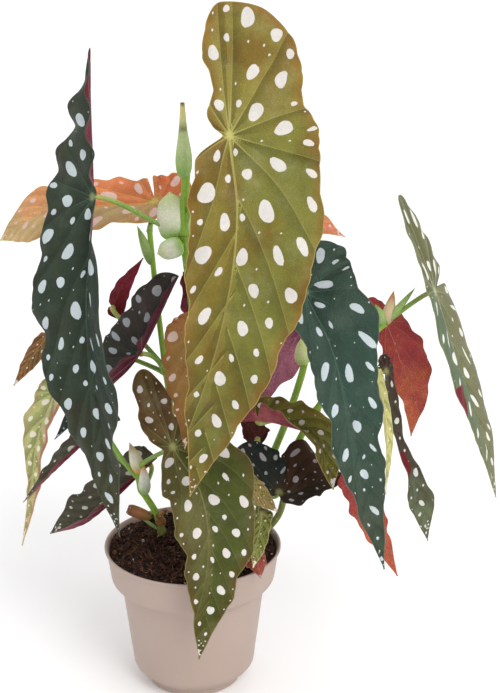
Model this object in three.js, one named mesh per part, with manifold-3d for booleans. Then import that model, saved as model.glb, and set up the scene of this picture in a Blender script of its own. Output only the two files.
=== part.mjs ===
// A potted angel-wing begonia with polka dot leaves, in millimetres, +Z up.
// The origin is the centre of the pot's foot, on the surface that the pot stands on.

import * as THREE from 'three';
import { mergeVertices } from 'three/addons/utils/BufferGeometryUtils.js';
import Module from 'manifold-3d';

const wasm = await Module();
wasm.setup();

// ---- driving dimensions -------------------------------------------------

const POT_RIM_RADIUS = 60;
const POT_HEIGHT = 100;
const POT_WALL = 1.4;
const POT_SIDES = 40;
// Radius and height of the outer wall's corners.
const POT_FOOT = [31.5, 0];
const POT_BASE = [32, 3.4];
const POT_HEEL = [40.4, 11];
const POT_BODY = [41.6, 13.5];
const POT_SHOULDER = [48.6, 71];
const POT_COLLAR = [55.6, 77];
const POT_LIP = [58.6, 97.8];
const POT_LIP_DEPTH = 1.6;
// How far the inner corners stand above the outer ones.
const POT_INNER_RISE = 0.6;
const DRAIN_HOLES = 6;
const DRAIN_RADIUS = 4;
const DRAIN_CIRCLE = 19;

// Height of the soil at its edge, at the top of its shoulder, and at its middle.
const SOIL_EDGE_LEVEL = 94.5;
const SOIL_SHOULDER = [50, 96];
const SOIL_SLOPE = [30, 97.5];
const SOIL_CROWN_LEVEL = 98.5;
const SOIL_HOLE_REACH = 1.5;
const SOIL_SIDES = 28;
const FIT_GAP = 0.3;
const SEAT_GAP = 0.7;

const LEAF_THICKNESS = 0.8;
const LEAF_END_HALF_WIDTH = 0.5;
// Where half widths are given along a leaf: -1 at the end of its lobe, 0 at the stalk, 1 at the tip.
const STATIONS = [-1, -0.85, -0.6, -0.3, 0, 0.25, 0.5, 0.75, 1];
const WIDE_OUTLINE = [0.64, 0.8, 0.88, 1, 0.95, 0.76, 0.42];
const NARROW_OUTLINE = [0.34, 0.44, 0.48, 0.85, 1, 0.9, 0.5];
const CROWN_CAP_START = 0.72;
const LOBE_END = 0.985;
const NOTCH_ABOVE = 0.25;
const NOTCH_BELOW = 0.07;
const STALK_RADIUS = 1.7;
const STALK_STEPS = 5;
const STALK_SIDES = 5;
const CANE_SIDES = 7;
const JOINT_SWELL = 1.35;

// Half width and height of a unit sheath, from its round root to its point.
const SCALE_PROFILE = [[0, -0.06], [0.36, 0.04], [0.5, 0.3], [0.32, 0.68], [0, 1]];
const SCALE_SIDES = 7;

// ---- colours ------------------------------------------------------------

const OLIVE = 0x767340;
const DARK_GREEN = 0x303e37;
const ORANGE = 0xcd7d50;
const WINE = 0xa5413c;
const LIME = 0xa5a564;
const BRONZE = 0x5f4123;
const MAUVE = 0x8a5070;
const MAROON = 0x461e22;
const STEM_GREEN = 0x699632;
const POT_TAUPE = 0xc8b6aa;
const SOIL_BROWN = 0x2d201c;

// ---- meshes and solids --------------------------------------------------

/** Merges a geometry by position alone and turns it into a solid. */
function toSolid(geometry) {
  const bare = geometry.index ? geometry.toNonIndexed() : geometry.clone();
  for (const name of Object.keys(bare.attributes)) {
    if (name !== 'position') bare.deleteAttribute(name);
  }
  const merged = mergeVertices(bare, 1e-3);
  return new wasm.Manifold(new wasm.Mesh({
    numProp: 3,
    vertProperties: Float32Array.from(merged.attributes.position.array),
    triVerts: Uint32Array.from(merged.index.array),
  }));
}

/** Turns a solid back into a geometry. */
function toGeometry(solid) {
  const mesh = solid.getMesh();
  const geometry = new THREE.BufferGeometry();
  geometry.setAttribute('position', new THREE.BufferAttribute(mesh.vertProperties, 3));
  geometry.setIndex(new THREE.BufferAttribute(mesh.triVerts, 1));
  geometry.computeVertexNormals();
  return geometry;
}

/** Joins several geometries into one solid. */
function fuse(geometries) {
  return geometries.map(toSolid).reduce((joined, next) => joined.add(next));
}

function finish(colour, roughness) {
  return new THREE.MeshStandardMaterial({ color: colour, roughness, metalness: 0 });
}

const object = new THREE.Group();

function addPart(name, geometry, colour, roughness = 0.5) {
  const mesh = new THREE.Mesh(geometry, finish(colour, roughness));
  mesh.name = name;
  object.add(mesh);
}

const vec = (point) => new THREE.Vector3(...point);

// ---- pot and soil -------------------------------------------------------

/** Turns [radius, height] pairs into a closed ring or solid about the Z axis. */
function turn(profile, sides = POT_SIDES) {
  const points = profile.map(([radius, height]) => new THREE.Vector2(radius, height));
  return new THREE.LatheGeometry(points, sides).rotateX(Math.PI / 2);
}

/** A corner of the outer wall moved in by the wall's thickness and up. */
const inwards = ([radius, height], rise = POT_INNER_RISE) => [radius - POT_WALL, height + rise];

/** The outer wall from the foot up to the lip. */
function potOutside() {
  return [
    POT_FOOT, POT_BASE, POT_HEEL, POT_BODY, POT_SHOULDER, POT_COLLAR, POT_LIP,
    [POT_RIM_RADIUS, POT_HEIGHT - POT_LIP_DEPTH],
    [POT_RIM_RADIUS, POT_HEIGHT],
  ];
}

/** The inner wall from the lip down to the floor. */
function potInside() {
  return [
    [POT_LIP[0] - POT_WALL, POT_HEIGHT],
    inwards(POT_COLLAR),
    inwards(POT_SHOULDER),
    inwards(POT_BODY, 0),
    inwards(POT_HEEL),
    inwards(POT_BASE, POT_WALL),
    inwards(POT_FOOT, POT_WALL + POT_INNER_RISE),
  ];
}

function makePot() {
  const profile = [[0, 0], ...potOutside(), ...potInside(), [0, POT_WALL]];
  let pot = toSolid(turn(profile));
  for (let hole = 0; hole < DRAIN_HOLES; hole += 1) {
    const angle = (hole / DRAIN_HOLES) * 2 * Math.PI;
    const drill = new THREE.CylinderGeometry(DRAIN_RADIUS, DRAIN_RADIUS, 12, 12);
    drill.rotateX(Math.PI / 2);
    drill.translate(DRAIN_CIRCLE * Math.cos(angle), DRAIN_CIRCLE * Math.sin(angle), 0);
    pot = pot.subtract(toSolid(drill));
  }
  return toGeometry(pot);
}

/** The soil fills the pot a small gap clear of it, with a plain hole for each cane. */
function makeSoil() {
  const [lip, ...wall] = potInside();
  const collar = wall[0];
  const share = (SOIL_EDGE_LEVEL - collar[1]) / (lip[1] - collar[1]);
  const side = wall.reverse().map(([radius, height]) => [radius - FIT_GAP, height + FIT_GAP]);
  const profile = [
    [0, side[0][1]],
    ...side,
    [collar[0] + (lip[0] - collar[0]) * share - FIT_GAP, SOIL_EDGE_LEVEL],
    SOIL_SHOULDER,
    SOIL_SLOPE,
    [0, SOIL_CROWN_LEVEL],
  ];
  let soil = toSolid(turn(profile, SOIL_SIDES));
  for (const { foot, collar: top, radius } of Object.values(CANES)) {
    const rise = vec(top).sub(vec(foot));
    const start = vec(foot).addScaledVector(rise, -FIT_GAP / rise.length());
    const end = vec(foot).addScaledVector(rise, SOIL_HOLE_REACH);
    soil = soil.subtract(toSolid(rod(new THREE.LineCurve3(start, end), radius + FIT_GAP, 1)));
  }
  return toGeometry(soil);
}

// ---- stems --------------------------------------------------------------

/** A round rod along a curve. */
function rod(curve, radius, steps, sides = CANE_SIDES) {
  const shape = new THREE.Shape();
  for (let side = 0; side < sides; side += 1) {
    const angle = (side / sides) * 2 * Math.PI;
    const at = [radius * Math.cos(angle), radius * Math.sin(angle)];
    if (side === 0) shape.moveTo(...at);
    else shape.lineTo(...at);
  }
  return new THREE.ExtrudeGeometry(shape, { steps, extrudePath: curve, bevelEnabled: false });
}

// ---- leaves -------------------------------------------------------------

const smooth = (x) => {
  const t = Math.min(Math.max(x, 0), 1);
  return t * t * (3 - 2 * t);
};

/** A value that runs from first at the crown, through second at the stalk, to third at the tip. */
function along([crown, stalk, tip], u) {
  return u < 0 ? stalk + (crown - stalk) * -u : stalk + (tip - stalk) * u;
}

/** A smooth curve through a leaf's half widths at the stations, down to nothing at the tip. */
function profile(widths, u) {
  const heights = [widths[0], ...widths, 0];
  const last = STATIONS.length - 1;
  const from = STATIONS.findLastIndex((station, place) => place < last && station <= u);
  const slope = (place) => {
    const low = Math.max(place - 1, 0);
    const high = Math.min(place + 1, last);
    return (heights[high] - heights[low]) / (STATIONS[high] - STATIONS[low]);
  };
  const span = STATIONS[from + 1] - STATIONS[from];
  const t = (u - STATIONS[from]) / span;
  const rise = t * t * (3 - 2 * t);
  return heights[from] * (1 - rise) + heights[from + 1] * rise
    + span * (slope(from) * t * (1 - t) ** 2 - slope(from + 1) * t * t * (1 - t));
}

/** The round end of the lobe, as a share of its width. */
function crownCap(u) {
  const past = Math.max(-u - CROWN_CAP_START, 0) / (1 - CROWN_CAP_START);
  return Math.sqrt(Math.max(1 - past * past, 0));
}

/** Half width of the blade on its wide side, or on its narrow side, which the notch cuts. */
function halfWidth(leaf, u, isWide) {
  const given = isWide ? leaf.wide : leaf.narrow;
  const common = isWide ? WIDE_OUTLINE : NARROW_OUTLINE;
  const widths = Array.isArray(given) ? given : common.map((share) => share * given);
  const reach = smooth(Math.abs(u) / (u < 0 ? NOTCH_ABOVE : NOTCH_BELOW));
  const notch = isWide ? 1 : leaf.notch + (1 - leaf.notch) * reach;
  return profile(widths, u) * crownCap(u) * notch;
}

/** The shallow scallops of the margin, as a change of half width. */
function scallop(leaf, u, side) {
  const fade = Math.min(1, 4 * (1 - Math.abs(u)));
  const turns = 2 * Math.PI * (leaf.scallops * u + leaf.phase + (side > 0 ? 0 : 0.37));
  return leaf.scallopDepth * fade * (Math.sin(turns) + 0.5 * Math.sin(1.7 * turns + 1));
}

/** Unit vector that an azimuth and a height above the horizon give; azimuth 0 is -Y, 90 is +X. */
function heading(azimuth, elevation) {
  const a = THREE.MathUtils.degToRad(azimuth);
  const e = THREE.MathUtils.degToRad(elevation);
  return new THREE.Vector3(Math.sin(a) * Math.cos(e), -Math.cos(a) * Math.cos(e), Math.sin(e));
}

/** Place, tangent, right-hand direction and facing of the midrib at u. */
function midrib(leaf, u) {
  const spans = leaf.spine.length - 1;
  const curve = new THREE.CatmullRomCurve3(leaf.spine.map(vec), false, 'catmullrom', 0.5);
  const place = (value) => (value < 0 ? 1 + value : 1 + value * (spans - 1)) / spans;
  const at = curve.getPoint(place(u));
  const step = 0.02;
  const ahead = curve.getPoint(place(Math.min(u + step, 1)));
  const behind = curve.getPoint(place(Math.max(u - step, -1)));
  const tangent = ahead.sub(behind).normalize();
  const facing = heading(along(leaf.azimuth, u), along(leaf.elevation, u));
  facing.addScaledVector(tangent, -facing.dot(tangent)).normalize();
  const right = new THREE.Vector3().crossVectors(facing, tangent);
  return { at, tangent, right, facing };
}

/** The point of the blade's middle surface at u along it and v across it, from -1 left to 1 right. */
function bladePoint(leaf, u, v) {
  const { at, right, facing } = midrib(leaf, u);
  const side = Math.sign(v);
  const isWide = side === leaf.wideSide;
  const half = halfWidth(leaf, u, isWide);
  const reach = Math.max(half + scallop(leaf, u, side), LEAF_END_HALF_WIDTH) * Math.abs(v);
  const fold = THREE.MathUtils.degToRad(along(isWide ? leaf.foldWide : leaf.foldNarrow, u));
  const bend = fold + THREE.MathUtils.degToRad(leaf.curl) * Math.abs(v) * 0.5;
  const fade = Math.min(1, 3 * (1 - Math.abs(u)));
  const ripple = leaf.ripple * fade * v * v
    * Math.sin(2 * Math.PI * (leaf.ripples * u + leaf.phase + (side > 0 ? 0.5 : 0)));
  return at.clone()
    .addScaledVector(right, side * reach * Math.cos(bend))
    .addScaledVector(facing, reach * Math.sin(bend) + ripple);
}

/** Rows crowd towards the end of the lobe, where the outline turns, and mark the notch. */
function leafRows(leaf) {
  const rows = [];
  for (let row = 0; row < leaf.lobeRows; row += 1) {
    const share = Math.cos((row / leaf.lobeRows) * Math.PI / 2);
    rows.push(-NOTCH_BELOW - (LOBE_END - NOTCH_BELOW) * share);
  }
  rows.push(-NOTCH_BELOW, 0, NOTCH_BELOW);
  for (let row = 1; row <= leaf.bladeRows; row += 1) {
    rows.push(NOTCH_BELOW + (1 - NOTCH_BELOW) * (row / leaf.bladeRows));
  }
  return rows;
}

/** A closed thin blade: two like faces, each moved half the thickness from the middle surface. */
function makeLeaf(leaf) {
  const rows = leafRows(leaf);
  const columns = leaf.columns;
  const wide = columns + 1;
  const middle = rows.flatMap((u) => Array.from(
    { length: wide },
    (_, column) => bladePoint(leaf, u, (2 * column) / columns - 1),
  ));
  const at = (row, column) => middle[
    Math.min(Math.max(row, 0), rows.length - 1) * wide + Math.min(Math.max(column, 0), columns)];
  const positions = [];
  for (const side of [0.5, -0.5]) {
    for (let row = 0; row < rows.length; row += 1) {
      for (let column = 0; column <= columns; column += 1) {
        const down = at(row + 1, column).clone().sub(at(row - 1, column));
        const across = at(row, column + 1).clone().sub(at(row, column - 1));
        const normal = across.cross(down).normalize();
        const point = at(row, column).clone().addScaledVector(normal, -side * LEAF_THICKNESS);
        positions.push(point.x, point.y, point.z);
      }
    }
  }
  return bladeGeometry(positions, rows.length, wide);
}

/** Joins an upper and a lower grid of points, with the same diagonals, round their border. */
function bladeGeometry(positions, rowCount, wide) {
  const lower = rowCount * wide;
  const index = [];
  for (let row = 0; row < rowCount - 1; row += 1) {
    for (let column = 0; column < wide - 1; column += 1) {
      const a = row * wide + column;
      const b = a + 1;
      const c = a + wide;
      const d = c + 1;
      index.push(a, c, d, a, d, b);
      index.push(lower + a, lower + d, lower + c, lower + a, lower + b, lower + d);
    }
  }
  const border = [];
  for (let column = 0; column < wide - 1; column += 1) border.push(column);
  for (let row = 0; row < rowCount - 1; row += 1) border.push(row * wide + wide - 1);
  for (let column = wide - 1; column > 0; column -= 1) border.push((rowCount - 1) * wide + column);
  for (let row = rowCount - 1; row > 0; row -= 1) border.push(row * wide);
  border.forEach((from, place) => {
    const to = border[(place + 1) % border.length];
    index.push(from, to, lower + to, from, lower + to, lower + from);
  });
  const geometry = new THREE.BufferGeometry();
  geometry.setAttribute('position', new THREE.Float32BufferAttribute(positions, 3));
  geometry.setIndex(index);
  return geometry;
}

// What a leaf has unless its own entry says otherwise. A wideSide of 1 is the right-hand side,
// seen from above with the tip down; azimuth, elevation and fold are at crown, stalk and tip.
const LEAF_DEFAULTS = {
  wideSide: 1,
  notch: 0.2,
  azimuth: [0, 0, 0],
  elevation: [20, 10, 0],
  foldWide: [12, 14, 8],
  foldNarrow: [12, 14, 8],
  curl: -12,
  scallops: 4,
  scallopDepth: 1,
  ripples: 3.5,
  ripple: 1.2,
  phase: 0,
  lobeRows: 4,
  bladeRows: 9,
  columns: 4,
  colour: DARK_GREEN,
};

const LEAVES = {
  leaf_front_large: {
    spine: [[22, -30, 472], [27, -66, 400], [32, -86, 351], [24, -100, 279], [2, -92, 179]],
    azimuth: [-4, -2, 0],
    elevation: [30, 12, 4],
    wide: [37, 43, 45, 51, 50, 43, 26],
    narrow: [11, 12, 9, 20, 28, 28, 19],
    foldWide: [4, 6, 10],
    foldNarrow: [4, 6, 10],
    scallops: 5,
    scallopDepth: 1.2,
    ripple: 3,
    phase: 0.1,
    lobeRows: 6,
    bladeRows: 16,
    columns: 6,
    colour: OLIVE,
  },
  leaf_left_large: {
    spine: [[-59, 0, 439], [-59, -10, 347], [-62, -38, 282], [-54, -50, 199], [-45, -56, 133]],
    wideSide: -1,
    azimuth: [-60, -45, -35],
    elevation: [10, 10, 6],
    wide: [4, 17, 26, 37, 42, 37, 16],
    narrow: [5, 7, 8, 11, 22, 25, 11],
    foldWide: [20, 18, 12],
    foldNarrow: [66, 46, 8],
    scallops: 5,
    scallopDepth: 2.4,
    ripple: 2.6,
    phase: 0.35,
    lobeRows: 6,
    bladeRows: 15,
    columns: 6,
  },
  leaf_back_orange: {
    spine: [[-1, 55, 339], [-24, 50, 327], [-64, 55, 322], [-102, 62, 314], [-131, 70, 294]],
    azimuth: [0, 0, -10],
    elevation: [55, 55, 50],
    wide: [12, 15, 16, 16, 19, 21, 18],
    narrow: [13, 16, 17, 18, 21, 21, 18],
    lobeRows: 4,
    bladeRows: 11,
    colour: ORANGE,
    scallopDepth: 1.4,
  },
  leaf_right_dark: {
    spine: [[63, -30, 322], [73, -42, 295], [91, -60, 260], [106, -72, 201], [125, -70, 117]],
    azimuth: [10, 10, 10],
    elevation: [25, 15, 5],
    wide: [24, 30, 32, 32.5, 29.5, 20.5, 13],
    narrow: [8, 11, 12, 14, 17, 16, 12],
    scallopDepth: 1.8,
    phase: 0.6,
    lobeRows: 5,
    bladeRows: 13,
    columns: 6,
    ripple: 2,
    foldWide: [12, 20, 8],
    foldNarrow: [12, 20, 8],
  },
  leaf_far_right: {
    spine: [[134, 12, 342], [159, 10, 278], [175, 8, 232], [194, 4, 178], [205, 0, 134]],
    azimuth: [72, 70, 64],
    elevation: [15, 15, 10],
    wide: [6, 9, 10, 16, 21, 18, 9],
    narrow: [10, 16, 23, 26, 29, 26, 16],
    foldWide: [0, 8, 6],
    foldNarrow: [12, 4, 4],
    scallopDepth: 0.8,
    phase: 0.2,
    lobeRows: 5,
    bladeRows: 12,
    columns: 6,
    colour: OLIVE,
    ripple: 0.5,
    wideSide: -1,
    notch: 0.3,
  },
  leaf_right_red: {
    spine: [[117, 45, 260], [130, 38, 247], [142, 36, 214], [149, 36, 191], [150, 38, 163]],
    azimuth: [170, 175, 180],
    elevation: [0, 0, 0],
    wideSide: -1,
    wide: [6, 7, 7, 12, 19, 16, 8],
    narrow: 10,
    foldWide: [4, 4, 4],
    colour: WINE,
  },
  leaf_left_behind: {
    spine: [[-7, 8, 289], [-33, 8, 235], [-58, 12, 206], [-93, 16, 170]],
    wideSide: -1,
    azimuth: [-20, -20, -20],
    elevation: [30, 35, 30],
    wide: 27,
    narrow: 15,
    foldNarrow: [115, 110, 60],
    phase: 0.4,
  },
  leaf_left_crimson: {
    spine: [[-56, 40, 251], [-53, 40, 256], [-46, 40, 271], [-32, 40, 291]],
    azimuth: [150, 150, 150],
    elevation: [0, 0, 0],
    wide: 8,
    narrow: 6,
    scallopDepth: 0.4,
    ripple: 0.5,
    lobeRows: 3,
    bladeRows: 6,
    colour: MAROON,
    columns: 2,
  },
  leaf_left_small: {
    spine: [[-78, 30, 252], [-95, 28, 241], [-108, 26, 224], [-120, 24, 206]],
    azimuth: [-20, -20, -20],
    elevation: [30, 30, 20],
    wide: 8,
    narrow: 6,
    scallopDepth: 0.6,
    ripple: 0.6,
    bladeRows: 7,
    colour: BRONZE,
  },
  leaf_left_lime: {
    spine: [[-89, 32, 213], [-93, 30, 199], [-106, 30, 164], [-110, 28, 127], [-120, 26, 85]],
    azimuth: [-25, -25, -25],
    elevation: [10, 10, 5],
    wideSide: -1,
    wide: [6, 8, 9, 12, 13, 8, 4],
    narrow: [3, 4, 4, 6, 7, 5, 3],
    scallopDepth: 1.3,
    bladeRows: 12,
    colour: LIME,
  },
  leaf_low_left: {
    spine: [[-25, 34, 148], [-30, 32, 144], [-51, 26, 124], [-74, 16, 107], [-98, 8, 103]],
    azimuth: [-10, -10, -15],
    elevation: [35, 40, 35],
    wideSide: -1,
    wide: [8, 11, 13, 17, 20, 21, 20],
    narrow: [5, 7, 8, 9, 9, 10, 10],
    bladeRows: 11,
    foldNarrow: [95, 100, 100],
  },
  leaf_low_left_far: {
    spine: [[-48, 14, 185], [-61, 14, 179], [-89, 14, 152], [-116, 14, 124]],
    azimuth: [-20, -20, -20],
    elevation: [35, 35, 35],
    wideSide: -1,
    wide: 12,
    narrow: 7,
    foldNarrow: [95, 95, 95],
  },
  leaf_front_low: {
    spine: [[-31, -20, 235], [-11, -30, 185], [9, -55, 161], [15, -76, 120], [6, -80, 57]],
    azimuth: [-10, 0, 5],
    elevation: [30, 25, 5],
    wide: [8, 11, 13, 29, 35, 29, 15],
    narrow: [10, 13, 12, 14, 22, 21, 14],
    notch: 0.5,
    scallopDepth: 1.6,
    phase: 0.3,
    lobeRows: 5,
    bladeRows: 13,
    columns: 6,
    colour: OLIVE,
    ripple: 2,
  },
  leaf_mid_olive: {
    spine: [[5, -44, 283], [4, -50, 270], [3, -62, 236], [-2, -62, 197]],
    azimuth: [-20, -20, -20],
    elevation: [10, 10, 5],
    wide: [10, 13, 15, 18, 19, 16, 8],
    narrow: 9,
    colour: OLIVE,
    notch: 0.3,
    wideSide: -1,
  },
  leaf_mid_folded: {
    spine: [[30, -15, 196], [44, -18, 198], [62, -24, 197], [84, -34, 190], [93, -42, 160]],
    azimuth: [0, 0, -10],
    elevation: [60, 60, 20],
    wide: [8, 12, 14, 17, 18, 17, 12],
    narrow: [8, 10, 11, 13, 15, 14, 10],
    wideSide: 1,
    foldWide: [30, 20, 5],
    foldNarrow: [100, 125, 40],
    bladeRows: 11,
    colour: OLIVE,
    scallopDepth: 1.2,
  },
  leaf_soil_dark: {
    spine: [[31, -24, 182], [58, -32, 153], [82, -26, 157], [104, -16, 156]],
    azimuth: [0, 0, 0],
    elevation: [60, 60, 50],
    wide: [15, 19, 20, 18, 25, 33, 16],
    narrow: 10,
    bladeRows: 10,
  },
  leaf_soil_bronze: {
    spine: [[30, -40, 166], [35, -40, 163], [46, -40, 154], [57, -40, 143]],
    azimuth: [0, 0, 0],
    elevation: [50, 50, 40],
    wide: 9,
    narrow: 7,
    scallopDepth: 0.4,
    ripple: 0.5,
    lobeRows: 3,
    bladeRows: 6,
    colour: BRONZE,
    columns: 2,
  },
  leaf_right_red_low: {
    spine: [[105, -22, 171], [109, -24, 163], [120, -28, 131], [137, -34, 93]],
    azimuth: [190, 190, 190],
    elevation: [0, 0, 0],
    wide: 13,
    narrow: 10,
    foldWide: [2, 2, 2],
    foldNarrow: [2, 2, 2],
    colour: WINE,
  },
  leaf_right_cream: {
    spine: [[120, -24, 236], [121, -24, 231], [129, -26, 191], [128, -28, 150]],
    azimuth: [20, 20, 20],
    elevation: [0, 0, 0],
    wide: 4,
    narrow: 3,
    scallopDepth: 0.3,
    ripple: 0.3,
    lobeRows: 2,
    bladeRows: 7,
    colour: LIME,
    columns: 2,
  },
  leaf_right_twisted: {
    spine: [[125, 12, 232], [129, 12, 221], [137, 8, 180], [152, 4, 141], [160, 0, 102]],
    azimuth: [60, 50, 10],
    elevation: [10, 10, 10],
    wide: [6, 7, 8, 7, 6, 4, 9],
    narrow: [6, 6, 6, 5, 5, 3.5, 9],
    scallopDepth: 1.2,
    bladeRows: 12,
  },
  leaf_mid_maroon: {
    spine: [[47, -6, 177], [44, -6, 180], [40, -5, 187], [32, -4, 197]],
    azimuth: [180, 180, 180],
    elevation: [0, 0, 0],
    wide: 10,
    narrow: 8,
    scallopDepth: 0.4,
    ripple: 0.5,
    lobeRows: 3,
    bladeRows: 5,
    colour: MAROON,
    columns: 2,
  },
  leaf_back_mauve: {
    spine: [[83, 44, 258], [78, 46, 245], [60, 50, 213], [32, 48, 169]],
    azimuth: [180, 180, 180],
    elevation: [0, 0, 0],
    wide: 22,
    narrow: 15,
    colour: MAUVE,
  },
  leaf_back_dark: {
    spine: [[10, 64, 280], [14, 68, 262], [21, 82, 202], [23, 80, 145]],
    azimuth: [175, 180, 185],
    elevation: [30, 20, 5],
    wide: 24,
    narrow: 16,
    scallopDepth: 1.4,
    phase: 0.7,
    bladeRows: 9,
  },
  leaf_back_orange_right: {
    spine: [[26, 50, 325], [36, 52, 322], [72, 56, 317], [103, 62, 299]],
    wideSide: -1,
    azimuth: [0, 0, 0],
    elevation: [55, 55, 50],
    wide: 18,
    narrow: 13,
    colour: ORANGE,
  },
  leaf_rim_crimson: {
    spine: [[38, -33, 115], [39, -37, 114], [44, -46, 109], [46, -52, 101]],
    azimuth: [10, 10, 10],
    elevation: [60, 60, 20],
    wide: 9,
    narrow: 8,
    foldWide: [8, -10, -30],
    foldNarrow: [8, -10, -30],
    scallopDepth: 0.4,
    ripple: 0.4,
    lobeRows: 3,
    bladeRows: 6,
    columns: 2,
    colour: MAROON,
  },
  leaf_rim_lime: {
    spine: [[48, -30, 141], [47, -34, 139], [44, -62, 130], [41, -68, 117]],
    azimuth: [0, 0, 0],
    elevation: [40, 40, 0],
    wide: 7,
    narrow: 5.5,
    scallopDepth: 0.6,
    ripple: 0.6,
    bladeRows: 7,
    colour: LIME,
  },
};

// ---- canes --------------------------------------------------------------

// Each cane stands straight in the soil from foot to collar and then follows its path. Joints are
// the swollen rings where leaf stalks start; a scale is a pointed sheath, given by its root, the
// place it points to, and its width and depth.
const CANES = {
  cane_main: {
    foot: [3, 20, 40],
    collar: [2, 19, 102.2],
    path: [[4, 12, 180], [3, 4, 255], [-3, 0, 319], [-1, 0, 364]],
    radius: 2.9,
    joints: [[4, 14, 158], [3, 6, 238], [-3, 0, 319]],
    stalks: [
      { leaf: 'leaf_front_large', from: [-3, 0, 321], lift: [10, -8, 50], approach: 34 },
      { leaf: 'leaf_left_large', from: [-3, 0, 320], lift: [-22, 0, 6], approach: 22 },
      { leaf: 'leaf_mid_olive', from: [3, 6, 238], lift: [-6, -14, 22], approach: 16 },
      { leaf: 'leaf_back_dark', from: [3, 5, 246], lift: [2, 22, 22], approach: 16 },
      { leaf: 'leaf_back_orange_right', from: [1, 3, 275], lift: [6, 16, 8], approach: 24 },
    ],
    scales: [
      { root: [-3, -1, 358], point: [-3, -1, 405], width: 10, depth: 8 },
      { root: [-9, -6, 316], point: [-13, -7, 347], width: 21, depth: 13 },
      { root: [-4, -4, 316], point: [-14, -8, 308], width: 12, depth: 9 },
    ],
  },
  cane_left: {
    foot: [-8, 26, 40],
    collar: [-9, 26, 102],
    path: [[-14, 24, 183], [-18, 21, 222], [-23, 28, 268], [-27, 34, 312]],
    radius: 2,
    joints: [[-13, 24, 170], [-18, 21, 218]],
    stalks: [
      { leaf: 'leaf_back_orange', from: [-27, 34, 311], lift: [0, 6, 6], approach: 7 },
      { leaf: 'leaf_left_behind', from: [-18, 21, 217], lift: [-4, 0, 10], approach: 12 },
      { leaf: 'leaf_left_crimson', from: [-18, 21, 219], lift: [-8, 6, 12], approach: 8 },
      { leaf: 'leaf_left_small', from: [-18, 22, 216], lift: [-30, 16, 10], approach: 14 },
    ],
    scales: [
      { root: [-26, 31, 290], point: [-35, 32, 316], width: 7, depth: 4 },
    ],
  },
  cane_right: {
    foot: [33, 24, 40],
    collar: [43, 20, 101.5],
    path: [[47, 17, 128], [54, 12, 159], [64, 10, 188], [75, 10, 227], [77, 8, 258]],
    radius: 2.5,
    joints: [[54, 12, 160], [78, 9, 246]],
    stalks: [
      { leaf: 'leaf_right_dark', from: [77, 8, 257], lift: [0, -6, 22], approach: 22 },
      { leaf: 'leaf_back_mauve', from: [77, 9, 250], lift: [2, 14, 4], approach: 10 },
      { leaf: 'leaf_mid_folded', from: [62, 10, 182], lift: [-4, -8, 14], approach: 8 },
      { leaf: 'leaf_soil_dark', from: [49, 15, 138], lift: [3, -14, -2], approach: 12 },
      { leaf: 'leaf_soil_bronze', from: [47, 17, 124], lift: [-3, -16, -2], approach: 8 },
      { leaf: 'leaf_mid_maroon', from: [53, 12, 157], lift: [-7, -8, 4], approach: 9 },
      { leaf: 'leaf_rim_lime', from: [47, 17, 124], lift: [-2, -12, 10], approach: 14 },
      { leaf: 'leaf_rim_crimson', from: [43, 19, 108], lift: [-2, -8, 0], approach: 4 },
    ],
    scales: [
      { root: [74, 6, 229], point: [72, 2, 248], width: 11, depth: 7 },
    ],
  },
  cane_far_right: {
    foot: [35, 8, 40],
    collar: [47, 9, 101.5],
    path: [[60, 10, 120], [66, 5, 160], [83, 4, 196], [105, 8, 231], [128, 14, 255]],
    radius: 2.3,
    joints: [[83, 4, 195], [128, 14, 255]],
    stalks: [
      { leaf: 'leaf_far_right', from: [128, 14, 255], lift: [10, 2, 6], approach: 9 },
      { leaf: 'leaf_right_red', from: [128, 14, 254], lift: [2, 3, 4], approach: 8 },
      { leaf: 'leaf_right_twisted', from: [105, 8, 231], lift: [8, 6, 0], approach: 8 },
      { leaf: 'leaf_right_cream', from: [105, 8, 231], lift: [2, -8, 4], approach: 8 },
      { leaf: 'leaf_right_red_low', from: [83, 4, 195], lift: [20, -40, 0], approach: 14 },
    ],
    scales: [
      { root: [127, 13, 253], point: [121, 13, 268], width: 8, depth: 5 },
      { root: [128, 14, 254], point: [133, 14, 277], width: 8, depth: 5 },
      { root: [128, 14, 254], point: [147, 12, 280], width: 5, depth: 3 },
      { root: [81, 4, 190], point: [71, 2, 196], width: 10, depth: 7 },
    ],
  },
  cane_young: {
    foot: [-22, 18, 50],
    collar: [-22, 16, 101.5],
    path: [[-23, 14, 111], [-27, 13, 120], [-35, 12, 136], [-38, 12, 153]],
    radius: 2.4,
    joints: [[-23, 14, 112], [-34, 12, 135]],
    stalks: [
      { leaf: 'leaf_front_low', from: [-37, 12, 150], lift: [4, -6, 10], approach: 14 },
      { leaf: 'leaf_left_lime', from: [-37, 12, 148], lift: [-20, 14, 2], approach: 14 },
      { leaf: 'leaf_low_left_far', from: [-36, 12, 143], lift: [-10, -2, 8], approach: 6 },
      { leaf: 'leaf_low_left', from: [-34, 12, 134], lift: [4, 10, 4], approach: 10 },
    ],
    scales: [
      { root: [-36, 11, 148], point: [-42, 9, 171], width: 9, depth: 6 },
      { root: [-33, 11, 132], point: [-33, 8, 156], width: 8, depth: 5 },
      { root: [-25, 13, 112], point: [-43, 14, 119], width: 7, depth: 5 },
    ],
  },
};

/** A stalk leaves its cane along lift and meets the leaf's underside square on. */
function makeStalk({ leaf, from, lift, approach }, radius) {
  const { at, facing } = midrib(leafNamed(leaf), 0);
  const end = at.clone().addScaledVector(facing, -(LEAF_THICKNESS / 2 + SEAT_GAP));
  const start = vec(from);
  const curve = new THREE.CubicBezierCurve3(
    start,
    start.clone().add(vec(lift)),
    end.clone().addScaledVector(facing, -approach),
    end,
  );
  return rod(curve, radius, STALK_STEPS, STALK_SIDES);
}

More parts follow.
